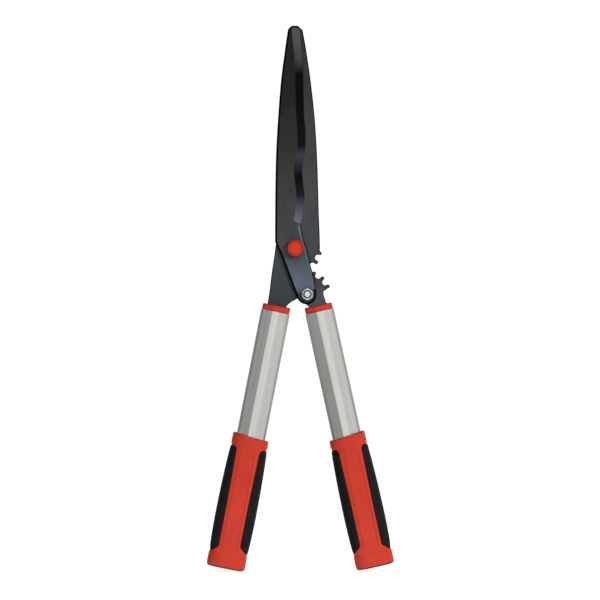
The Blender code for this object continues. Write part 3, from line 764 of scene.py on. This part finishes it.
def lofted(name, handle, rings, materials, sharp_deg=SHARP_DEG, closed=False):
    """A piece through rings of (x, y, z) points in a handle's own frame.

    It has a flat face at each end, unless it is closed: then its last ring joins its first.
    """
    count = len(rings[0])
    faces = ring_faces(len(rings), count, closed)
    if not closed:
        total = len(rings) * count
        faces += [tuple(range(count)), tuple(range(total - count, total))]
    item = cleaned(object_from(name, handle.to_world(rings), faces, materials))
    item.data.set_sharp_from_angle(angle=math.radians(sharp_deg))
    return item


def tube_piece(handle, material):
    """The tube: its outer wall, rounded lips at both ends and its inner wall."""
    top, bottom = -(FERRULE_HEIGHT + GAP), -TUBE_END
    turns = quarter_turn(LIP_STEPS)
    rows = [(TUBE_LIP * (1 - math.sin(turn)), top - TUBE_LIP * (1 - math.cos(turn))) for turn in turns]
    rows += [(0.0, z) for z in np.linspace(top - 2 * TUBE_LIP, bottom + 2 * TUBE_LIP, TUBE_ROWS)]
    rows += [(TUBE_LIP * (1 - math.cos(turn)), bottom + TUBE_LIP * (1 - math.sin(turn)))
             for turn in turns]
    rows += [(TUBE_WALL - TUBE_LIP / 2, bottom), (TUBE_WALL, bottom + TUBE_LIP / 2),
             (TUBE_WALL, top - TUBE_LIP / 2), (TUBE_WALL - TUBE_LIP / 2, top)]
    return lofted(handle.side + "_tube_drawn", handle, section_rings(rows), [material], closed=True)


def carved(item, cutter):
    """The item with the cutter taken away from it, and the cutter gone."""
    modifier = item.modifiers.new("cut", "BOOLEAN")
    modifier.object = cutter
    modifier.solver = "EXACT"
    graph = bpy.context.evaluated_depsgraph_get()
    mesh = bpy.data.meshes.new_from_object(item.evaluated_get(graph))
    item.modifiers.clear()
    item.data = mesh
    bpy.data.objects.remove(cutter, do_unlink=True)
    return item


def ferrule_piece(handle, material):
    """The red collar and plug, with a slot for the tang and a hole for the pin."""
    plug = TUBE_WALL + GAP
    rows = [(FERRULE_INSET + FERRULE_CROWN * (1 - math.sin(turn)), -FERRULE_CROWN * (1 - math.cos(turn)))
            for turn in quarter_turn(CROWN_STEPS)]
    rows += [(FERRULE_INSET, -FERRULE_HEIGHT / 2), (FERRULE_INSET, FERRULE_FOOT - FERRULE_HEIGHT),
             (FERRULE_INSET + FERRULE_FOOT, -FERRULE_HEIGHT), (plug, -FERRULE_HEIGHT),
             (plug, -PLUG_END)]
    item = lofted(handle.side + "_ferrule_moulded", handle, section_rings(rows), [material])
    half = TANG_HALF_WIDTH + GAP
    depth = PLATE / 2 + GAP
    slot = [[(-half, -depth, z), (half, -depth, z), (half, depth, z), (-half, depth, z)]
            for z in (-PLUG_END - MM, MM)]
    carved(item, lofted("cutter", handle, slot, []))
    radius = TANG_PIN_R + GAP
    angles = [math.tau * step / PIN_STEPS for step in range(PIN_STEPS)]
    pin = [[(radius * math.cos(angle), y, radius * math.sin(angle) - TANG_PIN_DEPTH) for angle in angles]
           for y in (-THROUGH, THROUGH)]
    carved(item, lofted("cutter", handle, pin, []))
    item.data.set_sharp_from_angle(angle=math.radians(SHARP_DEG))
    return item


# ---------------------------------------------------------------- grips

def faceted_radii(angles):
    """The faceted section's radius in each direction, exact along its straight facets."""
    outline = np.array(quarter(GRIP_SHAPE, GRIP_SIDE_STEPS) + [(0.0, 1.0)])
    turned = np.arctan2(outline[:, 1], outline[:, 0])
    radii = []
    for angle in angles:
        index = min(int(np.searchsorted(turned, angle, side="right")), len(outline) - 1)
        start = outline[index - 1]
        edge = outline[index] - start
        cross = math.cos(angle) * edge[1] - math.sin(angle) * edge[0]
        radii.append((start[0] * edge[1] - start[1] * edge[0]) / cross)
    return np.array(radii)


def smooth_sections():
    """The grip's sections on smooth curves between those given."""
    table = np.array(GRIP_SECTIONS)
    made = []
    padded = np.vstack([table[:1], table, table[-1:]])
    for p0, p1, p2, p3 in zip(padded, padded[1:], padded[2:], padded[3:]):
        slope_in = (p2 - p0) / (p2[0] - p0[0])
        slope_out = (p3 - p1) / (p3[0] - p1[0])
        span = p2[0] - p1[0]
        for t in np.linspace(0.0, 1.0, SECTION_STEPS, endpoint=False):
            made.append((2 * t ** 3 - 3 * t ** 2 + 1) * p1 + (t ** 3 - 2 * t ** 2 + t) * span * slope_in
                        + (3 * t ** 2 - 2 * t ** 3) * p2 + (t ** 3 - t ** 2) * span * slope_out)
    made = np.array(made + [table[-1]])
    made[:, 0] = np.maximum.accumulate(made[:, 0])
    return made


FINE_ANGLES = np.linspace(0.0, math.pi / 2, 721)
FACETED_RADII = faceted_radii(FINE_ANGLES)
FORM = smooth_sections()


def radius_at(angle, roundness):
    """The section's radius in half sizes, between faceted (0) and round (1)."""
    folded = np.abs(angle)
    faceted = np.interp(folded, FINE_ANGLES, FACETED_RADII)
    rounded = (np.cos(folded) ** ROUND_POWER + np.sin(folded) ** ROUND_POWER) ** (-1 / ROUND_POWER)
    return faceted + (rounded - faceted) * roundness


def half_sizes(down):
    return np.interp(down, FORM[:, 0], FORM[:, 1]), np.interp(down, FORM[:, 0], FORM[:, 2])


def roundness_at(down):
    """The flange and the flare are rounder than the body between them."""
    top = 1.0 - np.clip((down - FLANGE_BLEND[0]) / FLANGE_BLEND[1], 0.0, 1.0)
    bottom = np.clip((down - FLARE_BLEND[0]) / FLARE_BLEND[1], 0.0, 1.0)
    ease = np.maximum(top, bottom)
    return ROUNDNESS * ease * ease * (3 - 2 * ease)


def angle_at(x, down):
    """The direction in which the section is x millimetres out from its middle."""
    share = np.clip(np.abs(x) / half_sizes(down)[0], 0.0, 0.999)
    low, high = np.zeros_like(share), np.full_like(share, math.pi / 2)
    for _ in range(SOLVE_STEPS):
        middle = (low + high) / 2
        beyond = radius_at(middle, roundness_at(down)) * np.cos(middle) > share
        low = np.where(beyond, middle, low)
        high = np.where(beyond, high, middle)
    return (low + high) / 2


def strip_half(down):
    return np.interp(down, (PAD_TOP, STRIP_MIDDLE), STRIP_HALF_WIDTH)


def surface(sign, front, angle, down, amount):
    """Points on the grip's form: sign is the side along X, front is 1 before and -1 behind."""
    wide, deep = half_sizes(down)
    radius = radius_at(angle, roundness_at(down))
    x = sign * (wide - amount) * radius * np.cos(angle)
    y = -front * (deep - amount) * radius * np.sin(angle)
    return x, y


def pad_top_at(beyond):
    """How far down a pad's top border is, at a distance beyond the strip's edge."""
    rise = PAD_TOP_CORNER - np.clip(beyond, 0.0, PAD_TOP_CORNER)
    return PAD_TOP + PAD_TOP_CORNER - np.sqrt(np.maximum(PAD_TOP_CORNER ** 2 - rise ** 2, 0.0))


def pad_end_at(beyond, end, edge):
    """How far down a pad's lower border is: a corner, then a slope out to the side."""
    corner_reach = PAD_END_CORNER * (1 - math.sin(math.atan(PAD_END_SLOPE)))
    rise = PAD_END_CORNER - np.clip(beyond, 0.0, corner_reach)
    corner = np.sqrt(np.maximum(PAD_END_CORNER ** 2 - rise ** 2, 0.0))
    slope = np.clip(beyond - corner_reach, 0.0, PAD_END_REACH - edge - corner_reach) * PAD_END_SLOPE
    return end + corner + slope


def side_columns():
    """Where the columns of a side are, from its front border (0) to the one behind (1)."""
    return [*SIDE_SHARES, 0.5, *(1 - share for share in reversed(SIDE_SHARES))]


def side_angle(share, inset, down):
    """The direction of a column of the side."""
    return angle_at(strip_half(down) + inset, down) * (1 - 2 * share)


def side_limits(share, inset, end):
    """The pad's upper and lower border on a column of the side."""
    def reach(down):
        angle = side_angle(share, inset, down)
        return half_sizes(down)[0] * radius_at(angle, roundness_at(down)) * np.cos(angle) - inset
    top = PAD_TOP + PAD_TOP_PROBE
    edge = strip_half(end)
    return (float(pad_top_at(reach(top) - strip_half(top))),
            float(pad_end_at(reach(end + PAD_END_PROBE) - edge, end, edge)))


def slanted(handle, x, y, down):
    """Points in the handle's frame, with the grip's top edge lower on its inner side."""
    wide = half_sizes(down)[0]
    slant = GRIP_TOP_SLANT * np.clip(1.0 - down / SLANT_FADE, 0.0, 1.0)
    drop = slant * (1.0 - handle.outward * x / wide) / 2
    return np.stack([x * MM, y * MM, -(GRIP_TOP + (down + drop) * MM)], -1)


def pad_grid(handle, sign, end, inset, amount):
    """Points all over a pad, this far in from its border and this far below the grip's surface."""
    rows = np.linspace(0.0, 1.0, PAD_ROWS)
    made = []
    for share in side_columns():
        top, bottom = side_limits(share, inset, end)
        down = top + inset + (bottom - top - 2 * inset) * rows
        angle = side_angle(share, inset, down)
        x, y = surface(sign, np.where(angle > 0, 1, -1), np.abs(angle), down, amount)
        made.append(slanted(handle, x, y, down))
    return made


def pad_piece(handle, which, material):
    """A soft pad that fills its pocket: a crowned top with rounded edges, walls and a flat back."""
    sign = handle.outward if which == "outer" else -handle.outward
    levels = np.array([pad_grid(handle, sign, PAD_END[which], *level) for level in PAD_LEVELS])
    count, columns, rows = levels.shape[:3]
    size = columns * rows
    index = np.arange(size).reshape(columns, rows)
    faces = []
    for level in (0, count - 1):
        for corner in (level * size + index[:-1, :-1]).ravel().tolist():
            faces.append((corner, corner + rows, corner + rows + 1, corner + 1))
    border = np.concatenate([index[0, :-1], index[:-1, -1], index[-1, :0:-1], index[:0:-1, 0]])
    walls = [level * size + place for level in range(count) for place in border.tolist()]
    faces += [tuple(walls[place] for place in face) for face in ring_faces(count, len(border))]
    name = f"{handle.side}_grip_pad_{which}_soft"
    return cleaned(object_from(name, handle.to_world(levels), faces, [material]))


def pad_end(handle, sign):
    return PAD_END["outer" if sign == handle.outward else "inner"]


def shell_rows(top, bottom):
    """How far down the rows of a column are, with its pocket between top and bottom."""
    start, mouth = SHELL_TOP_ROWS[-1], top - LIP
    foot, finish = bottom + LIP, SHELL_END_ROWS[0]
    return np.concatenate([
        SHELL_TOP_ROWS, [start + (mouth - start) * share for share in ROWS_ABOVE_PAD], [mouth, top],
        np.linspace(top, bottom, PAD_ROWS),
        [bottom, foot], [foot + (finish - foot) * share for share in ROWS_BELOW_PAD], SHELL_END_ROWS])


def strip_column(handle, sign, front, kind, place):
    """A column on a strip: on its middle facet, in its crease or on the slope out to the pocket."""
    end, other = pad_end(handle, sign), pad_end(handle, -sign)
    mix = {"facet": 0.3 * place, "crease": 0.6, "slope": 0.6 + 0.4 * place}[kind]
    down = shell_rows(PAD_TOP + PAD_TOP_CORNER, (end + other) / 2 + (end - other) / 2 * mix)
    amount = np.zeros(len(down))
    crease = CREASE * half_sizes(down)[0]
    if kind == "facet":
        out = crease * place
    elif kind == "crease":
        out = crease + place
        top, bottom, length = CREASE_FADES
        fade = np.clip((down - top) / length, 0, 1) * np.clip((bottom - down) / length, 0, 1)
        amount = fade * GROOVE_DEPTH * CREASE_DEPTHS.get(abs(place), 0.0)
    else:
        start = crease + CREASE_HALF
        out = start + (strip_half(down) - LIP - start) * place
    x, y = surface(sign, front, angle_at(out, down), down, amount)
    return slanted(handle, x, y, down)


def pocket_column(handle, sign, part, share):
    """A column across a pocket: on its lip, its wall or its floor."""
    inset = -LIP if part == "lip" else 0.0
    down = shell_rows(*side_limits(share, inset, pad_end(handle, sign)))
    amount = np.zeros(len(down))
    if part != "lip":
        amount[POCKET_START - 1:POCKET_END + 1] = LIP
    if part == "floor":
        amount[POCKET_START:POCKET_END] = PAD_THICKNESS
    angle = side_angle(share, inset, down)
    x, y = surface(sign, np.where(angle > 0, 1, -1), np.abs(angle), down, amount)
    return slanted(handle, x, y, down)


def shell_surface(handle):
    """The columns of the shell's surface, once round: a strip in front, a side, and the same behind."""
    columns = []
    for front in (1, -1):
        for sign, order in ((-front, STRIP_COLUMNS[:0:-1]), (front, STRIP_COLUMNS)):
            columns += [strip_column(handle, sign, front, kind, place) for kind, place in order]
        shares = side_columns()[::front]
        parts = [("lip", shares[0]), ("wall", shares[0]), *(("floor", share) for share in shares),
                 ("wall", shares[-1]), ("lip", shares[-1])]
        columns += [pocket_column(handle, front, part, share) for part, share in parts]
    return np.array(columns)


def bore_rings(surface_top):
    """The bore and its mouth: rings of the tube's outline, in the directions of the surface's top."""
    outline = np.array(tube_section(-GAP)) / MM
    turned = np.arctan2(outline[:, 1], outline[:, 0])
    radii = np.hypot(outline[:, 0], outline[:, 1])
    direction = np.arctan2(surface_top[:, 1], surface_top[:, 0])
    reach = np.interp(direction, turned, radii, period=math.tau) * MM

    def ring(wider, z):
        radius = reach + wider * MM
        return np.stack([radius * np.cos(direction), radius * np.sin(direction), z], -1)
    floor = np.full(len(surface_top), -(GRIP_TOP + BORE_END))
    return [ring(0.0, floor)] + [ring(wider, surface_top[:, 2] - lower * MM)
                                 for wider, lower in BORE_MOUTH]


def shell_piece(handle, material):
    """The red shell: flange, strips with their creases, a pocket for each pad, flare and bore."""
    rows = shell_surface(handle).transpose(1, 0, 2)
    rings = bore_rings(rows[0]) + list(rows)
    return lofted(handle.side + "_grip_shell_moulded", handle, rings, [material], SHELL_SHARP_DEG)


# ---------------------------------------------------------------- materials

def srgb(red, green, blue):
    """A linear colour from display values between 0 and 255."""
    def linear(value):
        value /= 255
        return value / 12.92 if value <= 0.04045 else ((value + 0.055) / 1.055) ** 2.4
    return tuple(linear(value) for value in (red, green, blue))


class Nodes:
    """Short ways to add nodes to a tree."""

    def __init__(self, tree):
        self.tree = tree

    def node(self, kind, **settings):
        made = self.tree.nodes.new(kind)
        for name, value in settings.items():
            setattr(made, name, value)
        return made

    def link(self, output, target):
        self.tree.links.new(output, target)

    def part(self, vector, name):
        """One of a vector's X, Y and Z."""
        split = self.node("ShaderNodeSeparateXYZ")
        self.link(vector, split.inputs["Vector"])
        return split.outputs[name]

    def ramp(self, factor, stops):
        """A colour ramp through (place, colour) stops."""
        made = self.node("ShaderNodeValToRGB")
        elements = made.color_ramp.elements
        while len(elements) < len(stops):
            elements.new(0.5)
        for element, (place, colour) in zip(elements, stops):
            element.position = place
            element.color = (*colour, 1.0)
        self.link(factor, made.inputs["Fac"])
        return made.outputs["Color"]

    def spread(self, value, low, high, new_low=0.0, new_high=1.0):
        made = self.node("ShaderNodeMapRange")
        for name, number in (("From Min", low), ("From Max", high), ("To Min", new_low),
                             ("To Max", new_high)):
            made.inputs[name].default_value = number
        self.link(value, made.inputs["Value"])
        return made.outputs["Result"]

    def mixed(self, factor, first, second, blend="MIX"):
        made = self.node("ShaderNodeMix", data_type="RGBA", blend_type=blend)
        for socket, value in ((made.inputs[0], factor), (made.inputs[6], first),
                              (made.inputs[7], second)):
            if isinstance(value, bpy.types.NodeSocket):
                self.link(value, socket)
            elif isinstance(value, float):
                socket.default_value = value
            else:
                socket.default_value = (*value, 1.0)
        return made.outputs[2]

    def between(self, factor, first, second):
        """A colour that follows a noise from one tone to another."""
        return self.mixed(self.spread(factor, 0.3, 0.7), first, second)

    def times(self, first, second):
        return self.mixed(1.0, first, second, "MULTIPLY")


class Look(Nodes):
    """A Principled material and the nodes that vary it."""

    def __init__(self, name, metallic=0.0, specular=0.5):
        self.made = bpy.data.materials.new(name)
        self.made.use_nodes = True
        super().__init__(self.made.node_tree)
        self.shader = self.tree.nodes["Principled BSDF"]
        self.shader.inputs["Metallic"].default_value = metallic
        self.shader.inputs["Specular IOR Level"].default_value = specular
        self.place = self.node("ShaderNodeTexCoord").outputs["Object"]

    def noise(self, scale, stretch=(1.0, 1.0, 1.0), detail=4.0, rough=0.55):
        """Noise from 0 to 1: scale is per metre, stretch lengthens it along an axis."""
        mapping = self.node("ShaderNodeMapping")
        mapping.inputs["Scale"].default_value = [1.0 / value for value in stretch]
        self.link(self.place, mapping.inputs["Vector"])
        texture = self.node("ShaderNodeTexNoise")
        texture.inputs["Scale"].default_value = scale
        texture.inputs["Detail"].default_value = detail
        texture.inputs["Roughness"].default_value = rough
        self.link(mapping.outputs["Vector"], texture.inputs["Vector"])
        return texture.outputs["Fac"]

    def by_height(self, tones):
        """A colour from (height in metres, display values) pairs, from low to high."""
        low, high = tones[0][0], tones[-1][0]
        up = self.spread(self.part(self.place, "Z"), low, high)
        return self.ramp(up, [((z - low) / (high - low), srgb(*colour)) for z, colour in tones])

    def colour(self, value):
        if isinstance(value, tuple):
            self.shader.inputs["Base Color"].default_value = (*value, 1.0)
        else:
            self.link(value, self.shader.inputs["Base Color"])

    def rough(self, factor, low, high):
        self.link(self.spread(factor, 0.25, 0.75, low, high), self.shader.inputs["Roughness"])

    def bump(self, *layers):
        """Each layer is (height, distance in metres, strength)."""
        normal = None
        for height, distance, strength in layers:
            made = self.node("ShaderNodeBump")
            made.inputs["Distance"].default_value = distance
            made.inputs["Strength"].default_value = strength
            self.link(height, made.inputs["Height"])
            if normal:
                self.link(normal, made.inputs["Normal"])
            normal = made.outputs["Normal"]
        self.link(normal, self.shader.inputs["Normal"])


def coated_look(name, tones):
    """Non-stick coating, with tones that change with height."""
    look = Look(name, specular=0.1)
    mottle = look.noise(60.0, (1.0, 1.0, 2.5))
    fine = look.noise(900.0, (1.0, 1.0, 3.0), 6.0)
    toned = look.between(mottle, (0.86, 0.86, 0.88), (1.12, 1.12, 1.1))
    base = look.times(look.by_height(tones), toned)
    speck = look.mixed(look.spread(fine, 0.35, 0.65), (0.9, 0.9, 0.9), (1.08, 1.08, 1.08))
    look.colour(look.times(base, speck))
    look.rough(mottle, 0.42, 0.52)
    drag = look.noise(1400.0, (1.0, 1.0, 14.0), 3.0)
    look.bump((fine, 0.00004, 0.5), (drag, 0.00003, 0.35))
    return look.made


def rim_look():
    """The rolled edge of a stamped plate, near-black: painted shade for the dark lines and shadow gaps along the
    plates' edges.
    """
    look = Look("coated_edge_painted_shade", specular=0.03)
    fine = look.noise(500.0, (1.0, 1.0, 2.0), 5.0)
    look.colour(look.between(fine, (0.0008, 0.0008, 0.0010), (0.002, 0.002, 0.0024)))
    look.rough(fine, 0.5, 0.62)
    look.bump((fine, 0.00005, 0.4))
    return look.made


def anodised_look(name, lean):
    """Brushed and anodised tube: its grain runs along a handle that leans this far."""
    look = Look(name, metallic=1.0)
    turned = look.node("ShaderNodeMapping")
    turned.inputs["Rotation"].default_value = (0.0, lean, 0.0)
    look.link(look.place, turned.inputs["Vector"])
    look.place = turned.outputs["Vector"]
    grain = look.noise(2600.0, (1.0, 1.0, 60.0), 3.0)
    streak = look.noise(260.0, (1.0, 1.0, 90.0), 2.5)
    cloud = look.noise(35.0, (1.0, 1.0, 3.0))
    base = look.between(grain, (0.83, 0.83, 0.815), (0.93, 0.93, 0.91))
    lines = look.between(streak, (0.90, 0.90, 0.90), (1.05, 1.05, 1.05))
    base = look.times(base, lines)
    toned = look.between(cloud, (0.97, 0.965, 0.96), (1.02, 1.02, 1.03))
    look.colour(look.times(base, toned))
    look.rough(grain, 0.29, 0.38)
    look.bump((grain, 0.00002, 0.3), (streak, 0.00012, 0.4))
    return look.made


def red_look(name, light, dark):
    look = Look(name, specular=0.3)
    cloud = look.noise(45.0, detail=3.0)
    fine = look.noise(2200.0, detail=5.0)
    look.colour(look.between(cloud, dark, light))
    look.rough(fine, 0.36, 0.48)
    look.bump((fine, 0.00004, 0.35), (cloud, 0.0006, 0.08))
    return look.made


def rubber_look():
    look = Look("black_rubber", specular=0.12)
    fine = look.noise(1600.0, detail=6.0, rough=0.65)
    dust = look.noise(120.0)
    look.colour(look.mixed(look.spread(dust, 0.35, 0.75), (0.0070, 0.0070, 0.0074),
                           (0.0120, 0.0116, 0.0114)))
    look.rough(fine, 0.58, 0.72)
    look.bump((fine, 0.0001, 0.6))
    return look.made


def zinc_look(name, tone, roughness):
    look = Look(name, metallic=1.0)
    blotch = look.noise(500.0, detail=3.0)
    fine = look.noise(4000.0, detail=4.0)
    dark = tuple(value * 0.82 for value in tone)
    look.colour(look.between(blotch, dark, tone))
    look.rough(blotch, *roughness)
    look.bump((fine, 0.00002, 0.35))
    return look.made


def plain_look(name, tone, metallic, roughness):
    look = Look(name, metallic=metallic)
    fine = look.noise(1800.0, detail=5.0)
    dark = tuple(value * 0.8 for value in tone)
    look.colour(look.between(fine, dark, tone))
    look.rough(fine, *roughness)
    look.bump((fine, 0.00004, 0.4))
    return look.made


def ground_look():
    """The ground bevel under the coating: its colour changes with height, partly as a tint and partly as painted
    reflections along the wavy edge.
    """
    look = Look("ground_bevel", specular=0.06)
    lines = look.noise(1500.0, (14.0, 1.0, 1.0), 3.0)
    streak = look.between(lines, (0.85, 0.85, 0.85), (1.12, 1.12, 1.12))
    look.colour(look.times(look.by_height(GROUND_TINT_AND_PAINTED_REFLECTIONS), streak))
    look.rough(lines, 0.36, 0.46)
    look.bump((lines, 0.00004, 0.5))
    return look.made


# The rim material's near-black is painted shade along the plates' edges.
DARK_RIM_PAINTED_SHADE = rim_look()
GROUND = ground_look()
FRONT_COAT = coated_look("front_coating", FRONT_TONES)
REAR_COAT = coated_look("rear_coating", REAR_TONES)
GEAR_COAT = coated_look("gear_coating", GEAR_TONES)
RED = red_look("red_plastic", (0.50, 0.032, 0.014), (0.455, 0.024, 0.010))
RED_CAP = red_look("red_plastic_cap", (0.54, 0.033, 0.008), (0.50, 0.027, 0.006))
# A darker copy of the cap's red for its outer slope: painted shade.
RED_SLOPE_PAINTED_SHADE = red_look("red_plastic_slope_painted_shade", (0.30, 0.016, 0.015), (0.26, 0.013, 0.012))
# A darker copy of the red: painted shade for the rounded ends.
RED_PAINTED_SHADE = red_look("red_plastic_painted_shade", (0.15, 0.006, 0.006), (0.11, 0.004, 0.004))
RUBBER = rubber_look()
ZINC = zinc_look("bright_zinc", (0.94, 0.975, 1.0), (0.16, 0.28))
DARK_STEEL = zinc_look("dark_oxide", (0.13, 0.13, 0.14), (0.3, 0.42))
BRONZE = plain_look("oiled_bronze", (0.46, 0.31, 0.15), 1.0, (0.35, 0.5))
NYLON = plain_look("locking_nylon", (0.02, 0.026, 0.04), 0.0, (0.4, 0.55))


# ---------------------------------------------------------------- the pieces

def flat_height(x, z):
    return np.full(len(x), PLATE_FACE)


def gear_rim(x, z):
    return TOOTH_RIM if x > GEAR_TEETH[0] and z > GEAR_TEETH[1] else GEAR_RIM


def make_plates():
    front = blade_piece("front_blade_stamped", "front_blade", -1, FRONT_SPINE_RIMS,
                        [FRONT_COAT, DARK_RIM_PAINTED_SHADE, GROUND])
    finish_piece(front, "front_half", "coated_steel", "front_blade")
    rear = blade_piece("rear_blade_stamped", "rear_blade", 1, REAR_SPINE_RIMS,
                       [REAR_COAT, DARK_RIM_PAINTED_SHADE, GROUND])
    finish_piece(rear, "left_half", "coated_steel", "rear_blade")
    gear = plate_piece("gear_plate_stamped", "gear_plate", 1, flat_height, (gear_rim, gear_rim),
                       [GEAR_COAT, DARK_RIM_PAINTED_SHADE])
    finish_piece(gear, "right_handle", "coated_steel", "gear_plate")


def shade_rounded_ends(item, handle, top, bottom):
    """Gives the darker red to the rounded edges above top and below bottom, measured down: painted shade along the
    pieces' ends.
    """
    item.data.materials.append(RED_PAINTED_SHADE)
    low, high = EDGE_SHADE_SLOPES
    for polygon in item.data.polygons:
        up = polygon.normal.dot(handle.up)
        down = (handle.start - polygon.center).dot(handle.up)
        if (low < up < high and down < top) or (low < -up < high and down > bottom):
            polygon.material_index = 1


def shade_cap(item):
    """The cap's ring and its outer slope differ from its disc; the slope's darker red is painted shade."""
    item.data.materials.append(RED_SLOPE_PAINTED_SHADE)
    item.data.materials.append(RED)
    for polygon in item.data.polygons:
        reach = math.hypot(polygon.center.x - MAIN_PIVOT.x, polygon.center.z - MAIN_PIVOT.z)
        if reach > CAP_RING[1]:
            polygon.material_index = 1
        elif reach > CAP_RING[0]:
            polygon.material_index = 2


def add_turned(node, how, slot, at, look, profile, radius=0.2, **more):
    """A turned piece on the front blade, in place of its node."""
    piece = lathed(f"{node}_{how}", profile, at, look, radius, closed=profile[0][0] > 0.0, **more)
    return finish_piece(piece, "front_half", slot, node)


def make_hardware():
    at = MAIN_PIVOT
    cap = add_turned("pivot_cap", "snapped", "red_plastic", at, RED_CAP, CAP_PROFILE)
    shade_cap(cap)
    add_turned("pivot_bolt", "turned", "dark_steel", at, DARK_STEEL, PIVOT_BOLT_PROFILE, 0.25)
    add_turned("pivot_washer", "pressed", "bright_steel", at, ZINC, PIVOT_WASHER_PROFILE, 0.25)
    at = GEAR_PIVOT
    add_turned("gear_bolt", "turned", "bright_steel", at, ZINC, GEAR_BOLT_PROFILE)
    add_turned("gear_nut", "forged", "bright_steel", at, ZINC, NUT_PROFILE, 0.12, steps=NUT_STEPS,
               sharp_deg=NUT_SHARP_DEG)
    add_turned("gear_nut_insert", "moulded", "nylon", at, NYLON, NUT_INSERT_PROFILE, 0.12)
    add_turned("gear_lock_washer", "pressed", "dark_steel", at, DARK_STEEL, LOCK_WASHER_PROFILE)
    add_turned("gear_washer", "pressed", "bright_steel", at, ZINC, GEAR_WASHER_PROFILE)


def make_handle(side):
    handle = Handle(side)
    ferrule = ferrule_piece(handle, RED)
    shade_rounded_ends(ferrule, handle, FERRULE_HEIGHT / 2, FERRULE_HEIGHT / 2)
    finish_piece(ferrule, handle.body, "red_plastic", side + "_ferrule")
    lean = math.atan2(handle.up.x, handle.up.z)
    tube = tube_piece(handle, anodised_look(side + "_anodised", -lean))
    finish_piece(tube, handle.body, "anodised", side + "_tube")
    shell = shell_piece(handle, RED)
    shade_rounded_ends(shell, handle, FLANGE_SHADE_END, FLARE_SHADE_START)
    finish_piece(shell, handle.body, "red_plastic", side + "_grip_shell")
    for which in ("outer", "inner"):
        finish_piece(pad_piece(handle, which, RUBBER), handle.body, "black_rubber",
                     f"{side}_grip_pad_{which}")


def dress_hidden_nodes():
    for node, look in (("pivot_bush", BRONZE), ("gear_bush", BRONZE), ("left_tang_pin", ZINC),
                       ("right_tang_pin", ZINC), ("pivot_nut", ZINC),
                       ("pivot_spring_washer", DARK_STEEL)):
        materials = frame["nodes"][node].data.materials
        materials.clear()
        materials.append(look)


# ---------------------------------------------------------------- studio

def make_camera():
    data = bpy.data.cameras.new("camera")
    data.sensor_width = CAMERA_SENSOR
    data.lens = CAMERA_SENSOR * CAMERA_DISTANCE / VIEW_WIDTH
    camera = bpy.data.objects.new("camera", data)
    camera.location = (VIEW_CENTRE[0], SHEAR_Y - CAMERA_DISTANCE, VIEW_CENTRE[1])
    camera.rotation_euler = (math.pi / 2, 0.0, 0.0)
    bpy.context.scene.collection.objects.link(camera)
    bpy.context.scene.camera = camera


def make_floor():
    look = Look("studio_floor", specular=0.1)
    look.colour((FLOOR_GREY, FLOOR_GREY, FLOOR_GREY))
    look.shader.inputs["Roughness"].default_value = 0.9
    look.shader.inputs["Emission Color"].default_value = (1.0, 1.0, 1.0, 1.0)
    look.shader.inputs["Emission Strength"].default_value = FLOOR_GLOW
    low = cad_box[0][2] - FLOOR_DROP
    angles = [math.tau * step / FLOOR_SIDES for step in range(FLOOR_SIDES)]
    corners = [(FLOOR_RADIUS * math.cos(angle), FLOOR_RADIUS * math.sin(angle), low)
               for angle in angles]
    floor = object_from("studio_floor", corners, [tuple(range(FLOOR_SIDES))], [look.made],
                        smooth=False)
    floor.visible_glossy = False


def area_light(name, location, width, watts, shines):
    data = bpy.data.lights.new(name, "AREA")
    data.shape = "RECTANGLE"
    data.size = width
    data.size_y = width
    data.energy = watts
    light = bpy.data.objects.new(name, data)
    light.location = location
    light.visible_glossy = shines
    light.rotation_euler = (LIGHT_TARGET - light.location).to_track_quat("-Z", "Y").to_euler()
    bpy.context.scene.collection.objects.link(light)


def make_world():
    """A soft dome, brighter on the right than on the left, and white where the camera sees it."""
    world = bpy.data.worlds.new("studio")
    bpy.context.scene.world = world
    world.use_nodes = True
    studio = Nodes(world.node_tree)
    place = studio.node("ShaderNodeTexCoord").outputs["Generated"]
    tones = []
    for name, stops in (("X", DOME_ACROSS), ("Y", DOME_AROUND)):
        along = studio.spread(studio.part(place, name), -1.0, 1.0)
        tones.append(studio.ramp(along, [((at + 1) / 2, colour) for at, colour in stops]))
    dome = studio.tree.nodes["Background"]
    studio.link(studio.times(*tones), dome.inputs["Color"])
    white = studio.node("ShaderNodeBackground")
    white.inputs["Color"].default_value = (1.0, 1.0, 1.0, 1.0)
    white.inputs["Strength"].default_value = BACKDROP
    mix = studio.node("ShaderNodeMixShader")
    studio.link(studio.node("ShaderNodeLightPath").outputs["Is Camera Ray"], mix.inputs["Fac"])
    studio.link(dome.outputs["Background"], mix.inputs[1])
    studio.link(white.outputs["Background"], mix.inputs[2])
    studio.link(mix.outputs["Shader"], studio.tree.nodes["World Output"].inputs["Surface"])


make_plates()
make_hardware()
for side in ("left", "right"):
    make_handle(side)
dress_hidden_nodes()
make_camera()
make_floor()
make_world()
for light in LIGHTS:
    area_light(*light)
bpy.context.scene.view_settings.view_transform = "Standard"
